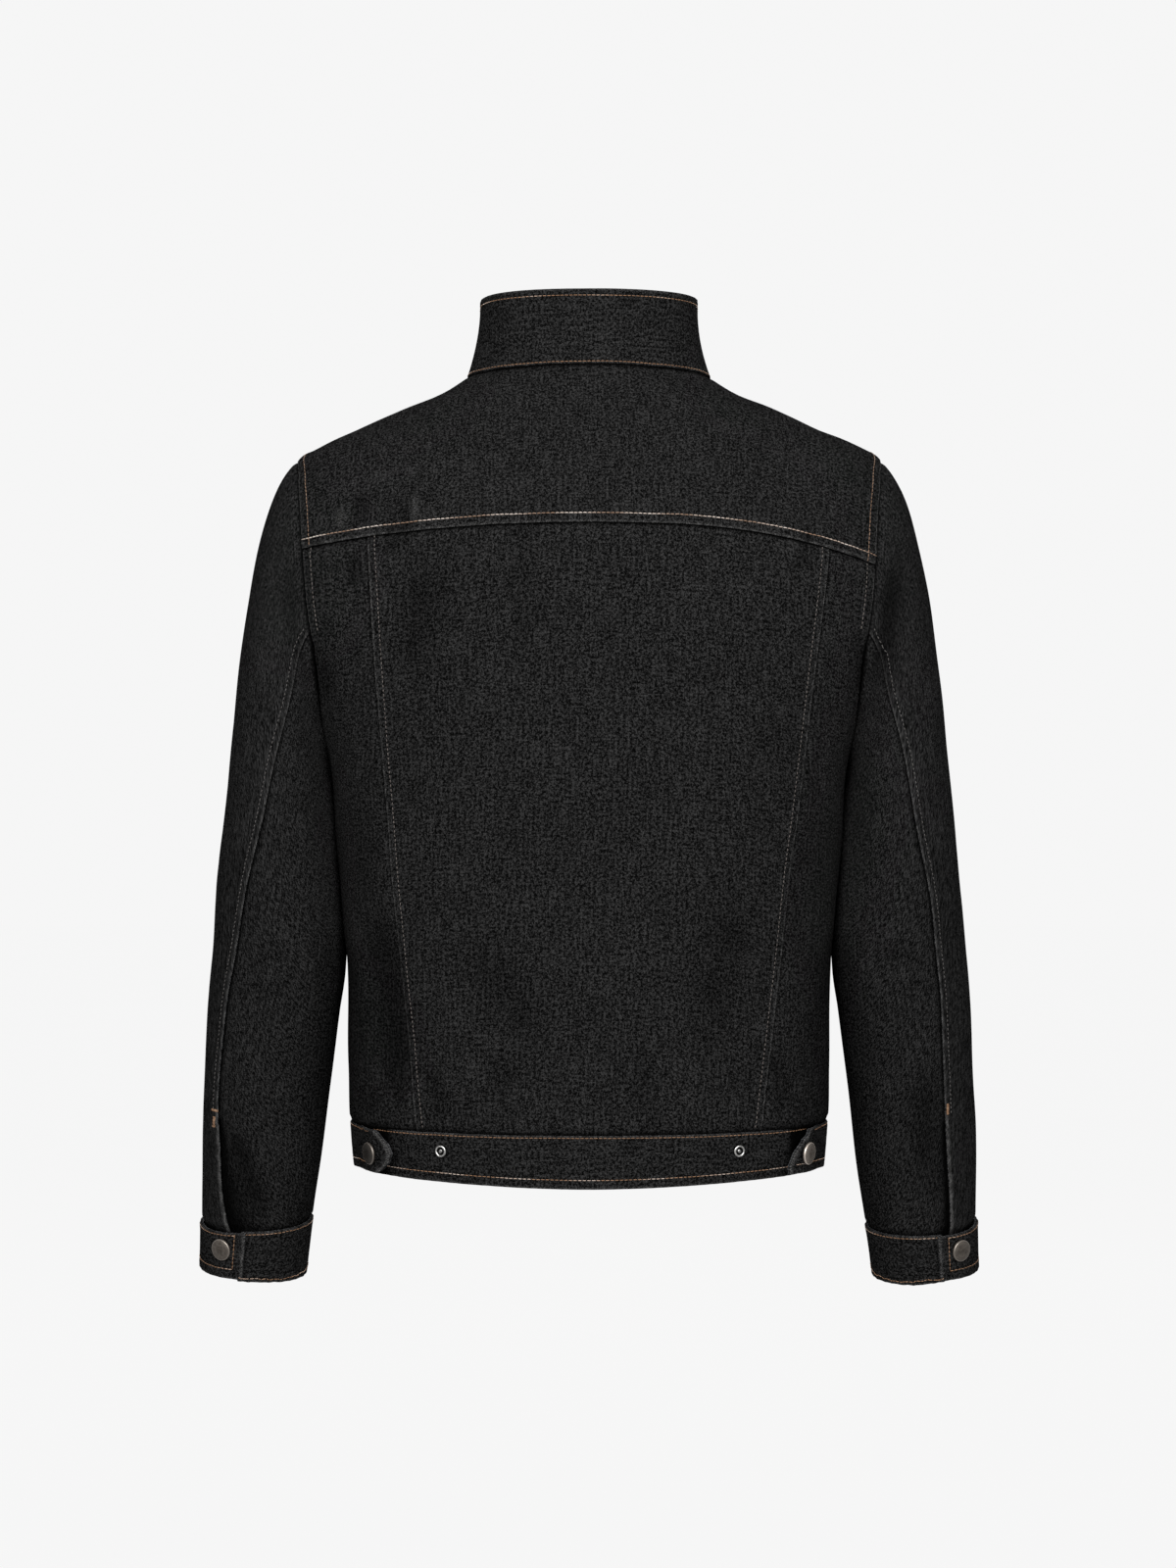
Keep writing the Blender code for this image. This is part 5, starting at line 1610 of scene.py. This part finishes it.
def sleeve_panel(name, turn, down, lift, side):
    """One panel of a sleeve with its folds, pressed in and given a painted highlight where the arm
    hangs against the body, and with painted shade on its inner side lower down."""
    down = np.broadcast_to(down, turn.shape)
    points = sleeve(turn, down)
    panel = Panel(name, settled(points, side), -outward(sleeve, turn, down), LAYER, lift, side)
    z = points[..., 2]
    inner_side = hump((turn + 180) % 360, INNER_REACH) + hump((-turn - 180) % 360, INNER_REACH)
    touch = np.minimum(inner_side, 1.0) * arm_touch(z)
    panel.height += (ARM_PRESS + ARM_PRESS_UP * hump(z + 0.30, 0.035)) * touch
    # painted highlight where the arm lies on the body
    panel.wear = CONTACT_LIGHT * touch
    panel.fold("sleeve", ease(down / 0.3), ease(down / 0.2))
    # painted shade on the inner side of the lower arm, which faces the body
    inner = ease((-panel.normals[..., 0] * side - 0.45) / 0.55)
    panel.darken(INNER_ARM_SHADOW * inner * ease((-0.40 - panel.points[..., 2]) / 0.08))
    return panel


def raised_cuff(side):
    """The cuff's surface before it settles: its outer end stands off over its under end."""

    def lift(turn):
        rise = ease((turn - CUFF_END[side] + CUFF_RISE_START) / CUFF_RISE)
        return YOKE_PROUD + (BAND_CLOTH + LAP_GAP) * rise

    return raised(cuff_surface, lift)


def settled_cuff(side):
    """The cuff's surface as it hangs on the wrist."""
    surface = raised_cuff(side)
    return lambda turn, z: settled(surface(turn, z), side)


def cuffs():
    """The cuffs, whose outer ends curl up a little at their lower corners."""
    for side, name in SIDES.items():
        start = CUFF_END[side] - 360 - CUFF_LAP
        turn = start + (CUFF_END[side] - start) * graded(0.27, ALONG)
        turn, z = np.meshgrid(turn, CUFF_BOTTOM + (CUFF_TOP - CUFF_BOTTOM) * graded(0.0435))
        foot = (CUFF_TOP - z) / (CUFF_TOP - CUFF_BOTTOM)
        z = z + LAP_RISE * foot * ease((turn - CUFF_END[side]) / LAP_RISE_RUN + 1)
        normals = outward(raised_cuff(side), turn, z)
        points = settled_cuff(side)(turn, z)
        panel = Panel(f"cuff_{name}", points, normals, BAND_CLOTH, 0.0, side)
        panel.height += waves(panel.points) * BAND_WAVES
        hemmed(panel, CUFF_STITCH)
        panel.turn_in("right", CUFF_END_STITCH, FLAT_RISE, PUCKER * 0.6, 1.0, seam="end")
        panel.curl("end", 0.8)
        panel.plain("left", 0.0)
        yield panel


# ---------------------------------------------------------------- sewing


def topstitching(panels, material):
    """All rows of stitches, gathered by the part of the jacket that they are on."""
    ends = ("left", "right")
    rows = Thread("topstitch_body")
    for where in ends:
        rows.sew(panels["back_center"], where, BACK_STITCH, "back seam", (-0.001, 0.001))
    yoke = panels["back_yoke"]
    rows.sew(yoke, "back", YOKE_STITCH, "yoke", (0.003, 0.003))
    for name in ends:
        rows.sew(yoke, f"armhole_{name}", ARMHOLE_STITCH, "yoke armhole")
        rows.sew(yoke, f"front_{name}", FRONT_YOKE_STITCH, "yoke front")
        for key in (f"back_side_{name}", f"front_{name}"):
            rows.sew(panels[key], "armhole", ARMHOLE_STITCH, "armhole")
    for where in ends:
        rows.sew(panels["placket"], where, PLACKET_STITCH)
    rows.build(material)

    rows = Thread("topstitch_sleeves")
    for side, name in SIDES.items():
        panel = panels[f"sleeve_upper_{name}"]
        rows.sew(panel, "seam", SLEEVE_STITCH, "sleeve seam")
        path, _, inward = panel.seams["seam"]
        tip, inward = path[0], inward[0]
        along = unit(path[6] - tip)
        if side > 0:
            rows.bar(panel, tip + inward * 0.0002, tip + inward * 0.0070, BAR_WIDTH)
            low = tip + inward * 0.0042 - along * 0.0050
            rows.bar(panel, low, low - along * 0.0080, 0.0046)
        else:
            low = tip + inward * 0.0022 + along * 0.0005
            rows.bar(panel, low, low + along * 0.0080, 0.0024)
    rows.build(material)

    rows = Thread("topstitch_bands")
    cloth = panels["collar"]
    rows.sew(cloth, "bottom", COLLAR_FOOT_STITCH, "collar foot", (-0.001, -0.001))
    rows.sew(cloth, "top", COLLAR_STITCH, "collar top", (-COLLAR_STITCH, -COLLAR_STITCH))
    for where in ends:
        rows.sew(cloth, where, COLLAR_STITCH, ends=(-0.0014, -0.005))
    for where, stitch, look in (("top", BAND_TOP_STITCH, "plain"), ("bottom", HEM_STITCH, "hem")):
        rows.sew(panels["waistband_back"], where, stitch, look)
        for name in ends:
            rows.sew(panels[f"waistband_{name}"], where, stitch, look, (-0.002, -TAB_STITCH))
    for name in ends:
        panel = panels[f"cuff_{name}"]
        for where, stitch in (("top", BAND_TOP_STITCH), ("bottom", CUFF_STITCH)):
            rows.sew(panel, where, stitch, "cuff", (-0.002, -CUFF_END_STITCH))
        rows.sew(panel, "end", CUFF_END_STITCH, ends=(-CUFF_STITCH, -BAND_TOP_STITCH))
    rows.build(material)


# ---------------------------------------------------------------- hardware


def seat(surface, turn, z, radius, side):
    """Middle and direction of a round foot that clears the surface by a layer gap all round."""
    turn = np.array([float(turn)])
    z = np.array([float(z)])
    middle = surface(turn, z)[0]
    normal = outward(surface, turn, z)[0]
    degree = np.linalg.norm(surface(turn + 1, z)[0] - middle)
    rim = np.radians(np.arange(0, 360, 30))
    around = surface(turn + radius / degree * np.cos(rim), z + radius * np.sin(rim))
    lift = max(0.0, ((around - middle) @ normal).max()) + LAYER_GAP
    return (middle + normal * lift) * (side, 1, 1), normal * (side, 1, 1)


# Profiles of the metal pieces from top to foot, as shares of their radius and height; the third
# column is how worn a cap is there, and how far a ring is out of its painted shade
PROFILE_COLUMNS = ("radius", "height", "rubbed")
CAP_PROFILE = (
    (0.000, 1.000, 0.0),
    (0.160, 0.998, 0.0),
    (0.340, 0.985, 0.0),
    (0.520, 0.955, 0.1),
    (0.680, 0.905, 0.1),
    (0.800, 0.840, 0.2),
    (0.862, 0.775, 0.1),
    (0.885, 0.745, 0.0),
    (0.905, 0.765, 0.6),
    (0.940, 0.745, 1.0),
    (0.975, 0.640, 0.8),
    (0.998, 0.460, 0.4),
    (1.000, 0.300, 0.1),
    (0.985, 0.130, 0.0),
    (0.950, 0.030, 0.0),
    (0.900, -0.060, 0.0),
    (0.000, -0.060, 0.0),
)
RING_PROFILE = (
    (0.000, 0.820, 0.3),
    (0.200, 0.800, 0.3),
    (0.300, 0.700, 0.2),
    (0.340, 0.450, 0.0),
    (0.380, 0.250, 0.0),
    (0.520, 0.220, 0.0),
    (0.580, 0.420, 0.0),
    (0.620, 0.760, 0.2),
    (0.700, 0.950, 0.5),
    (0.800, 1.000, 0.8),
    (0.900, 0.930, 0.6),
    (0.980, 0.640, 0.3),
    (1.000, 0.300, 0.0),
    (0.980, -0.060, 0.0),
    (0.000, -0.060, 0.0),
)
LATHE_SIDES = 40


def turned(node, profile, radius, height, point, axis, slot, material):
    """A round piece in place of a solid: its profile spun about an axis, with one point at each
    pole."""
    row = dict(zip(PROFILE_COLUMNS, np.array(profile).T))
    angle = np.arange(LATHE_SIDES) / LATHE_SIDES * 2 * math.pi
    helper = np.array([0.0, 0.0, 1.0]) if abs(axis[2]) < 0.9 else np.array([1.0, 0.0, 0.0])
    across = unit(np.cross(helper, axis))
    up = np.cross(axis, across)
    spoke = across * np.cos(angle)[:, None] + up * np.sin(angle)[:, None]
    rings = point + spoke[None] * (row["radius"][1:-1] * radius)[:, None, None]
    rings = rings + axis * (row["height"][1:-1] * height)[:, None, None]
    poles = point + axis * row["height"][[0, -1], None] * height
    index = numbered(rings.shape[:2])
    onward = np.roll(index, -1, axis=1)
    quads = np.stack([index[1:], onward[1:], onward[:-1], index[:-1]], -1).reshape(-1, 4)
    top = np.stack([index[0], onward[0], np.full(LATHE_SIDES, index.size)], -1)
    foot = np.stack([onward[-1], index[-1], np.full(LATHE_SIDES, index.size + 1)], -1)
    faces = quads.tolist() + top.tolist() + foot.tolist()
    vertices = np.concatenate([rings.reshape(-1, 3), poles])
    piece = mesh_piece(f"{node}_metal", vertices, faces, slot, material)
    rubbed = row["rubbed"]
    spread = np.concatenate([np.repeat(rubbed[1:-1], LATHE_SIDES), rubbed[[0, -1]]])
    mark(piece.data, "rubbed", spread)
    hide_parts(node)


def hardware():
    """The snap caps and rings, each in place of its plain solid."""
    cap_finish = gunmetal("gunmetal", 0.85)
    # painted shade on the left tab's cap, and a painted highlight on the right one's face and rim
    shaded = gunmetal("smutty gunmetal", 0.22)
    highlighted = gunmetal("polished gunmetal", 1.1, 3.2)
    tab_finish = {1: shaded, -1: highlighted}
    ring_finish = steel()

    def cap(node, surface, turn, z, side=1, finish=cap_finish):
        place = seat(surface, turn, z, CAP_RADIUS, side)
        turned(node, CAP_PROFILE, CAP_RADIUS, CAP_HEIGHT, *place, "snap_cap", finish)

    placket = raised(body, lambda turn: PLACKET_PROUD + 0 * turn)
    back_band = raised(band_body, lambda turn: YOKE_PROUD + 0 * turn)
    front_band = raised(band_body, band_lift)
    for i, z in enumerate(np.linspace(TOP_BUTTON_Z, LAST_BUTTON_Z, FRONT_BUTTONS)):
        cap(f"front_cap_{i + 1}", placket, -90, z)
    middle = (HEM_Z + BAND_Z) / 2
    cap("front_cap_6", front_band, -90, middle)
    for side, name in SIDES.items():
        turn = CUFF_END[side] - CUFF_BUTTON_BACK
        cap(f"cuff_cap_{name}", settled_cuff(side), turn, CUFF_CAP_Z, side)
        turn = body_turn_at_x(TAB_CAP_X, np.array(middle))
        cap(f"tab_cap_{name}", front_band, turn, middle, side, tab_finish[side])
        turn = body_turn_at_x(POST_X[side], np.array(middle))
        place = seat(back_band, turn, middle + POST_RISE, POST_RADIUS, side)
        ring = (RING_PROFILE, POST_RADIUS, POST_HEIGHT)
        turned(f"ring_post_{name}", *ring, *place, "snap_ring", ring_finish)


# ---------------------------------------------------------------- studio


def softbox(name, place):
    light = bpy.data.lights.new(name, "AREA")
    light.shape = "RECTANGLE"
    light.size, light.size_y = BOX_SIZE
    light.energy = BOX_POWER
    lamp = bpy.data.objects.new(name, light)
    bpy.context.scene.collection.objects.link(lamp)
    lamp.location = place
    ahead = unit(np.array(BOX_AIM) - np.array(place))
    level = math.hypot(ahead[0], ahead[1])
    lamp.rotation_euler = (math.atan2(level, -ahead[2]), 0.0, math.atan2(-ahead[0], ahead[1]))


def studio():
    """A pale room: an even sky, four softboxes, the camera and a round floor of white paper."""
    scene = bpy.context.scene
    world = bpy.data.worlds.new("studio")
    world.use_nodes = True
    background = world.node_tree.nodes["Background"]
    background.inputs["Color"].default_value = rgba(0.92)
    background.inputs["Strength"].default_value = 1.0
    scene.world = world
    scene.view_settings.view_transform = "Standard"
    for x in (-1, 1):
        for y in (-1, 1):
            off = (x * BOX_OFF * math.sin(BOX_TURN), y * BOX_OFF * math.cos(BOX_TURN))
            softbox(f"softbox_{x}_{y}", (*off, BOX_Z))

    camera = bpy.data.cameras.new("camera")
    camera.sensor_width = SENSOR
    camera.lens = SENSOR * (CAMERA_Y / PIXEL) / PICTURE_HEIGHT
    camera.shift_x = -MIDDLE_SHIFT
    eye = bpy.data.objects.new("camera", camera)
    scene.collection.objects.link(eye)
    eye.location = (0.0, CAMERA_Y, CAMERA_Z)
    eye.rotation_euler = (math.radians(90), 0.0, math.radians(180))
    scene.camera = eye

    c, s = cos_sin(np.linspace(0, 360, FLOOR_SIDES, endpoint=False))
    circle = np.stack([FLOOR_RADIUS * c, FLOOR_RADIUS * s, FLOOR_Z + 0 * c], -1)
    mesh = bpy.data.meshes.new("floor")
    mesh.from_pydata(circle.tolist(), [], [list(range(FLOOR_SIDES))])
    paper = Finish("paper", Roughness=0.9, Specular_IOR_Level=0.0, Emission_Strength=1.0)
    paper.give("Base Color", rgba(0.002))
    glow = paper.mix(rgba(0.914), rgba(0.918), paper.noise(paper.place(), 2.0))
    paper.give("Emission Color", glow)
    mesh.materials.append(paper.material)
    floor = bpy.data.objects.new("floor", mesh)
    scene.collection.objects.link(floor)


HELD = {
    "back_yoke": ("draped", ["collar"]),
    "collar": ("stretched", ["back_yoke"]),
}


def main():
    studio()
    cloth_finish = denim()
    makers = (
        back_panels, front_panels, yoke_panel, collar_panel, waistband, sleeve_panels, cuffs,
    )
    panels = {panel.name: panel for make in makers for panel in make()}
    for name, panel in panels.items():
        doubled = name.split("_")[0] in ("collar", "waistband", "cuff")
        layers = 2 if doubled else 1
        grain = "across" if doubled else "level" if name == "back_yoke" else "up"
        piece = panel.build("denim", cloth_finish, layers, grain)
        flat, area = panel.cut()
        held, rests_on = HELD.get(name, ("hung", ["back_yoke"]))
        min(area, flat[0] * flat[1])
        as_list(rests_on)
    topstitching(panels, thread())
    hardware()
    bpy.context.view_layer.update()


main()
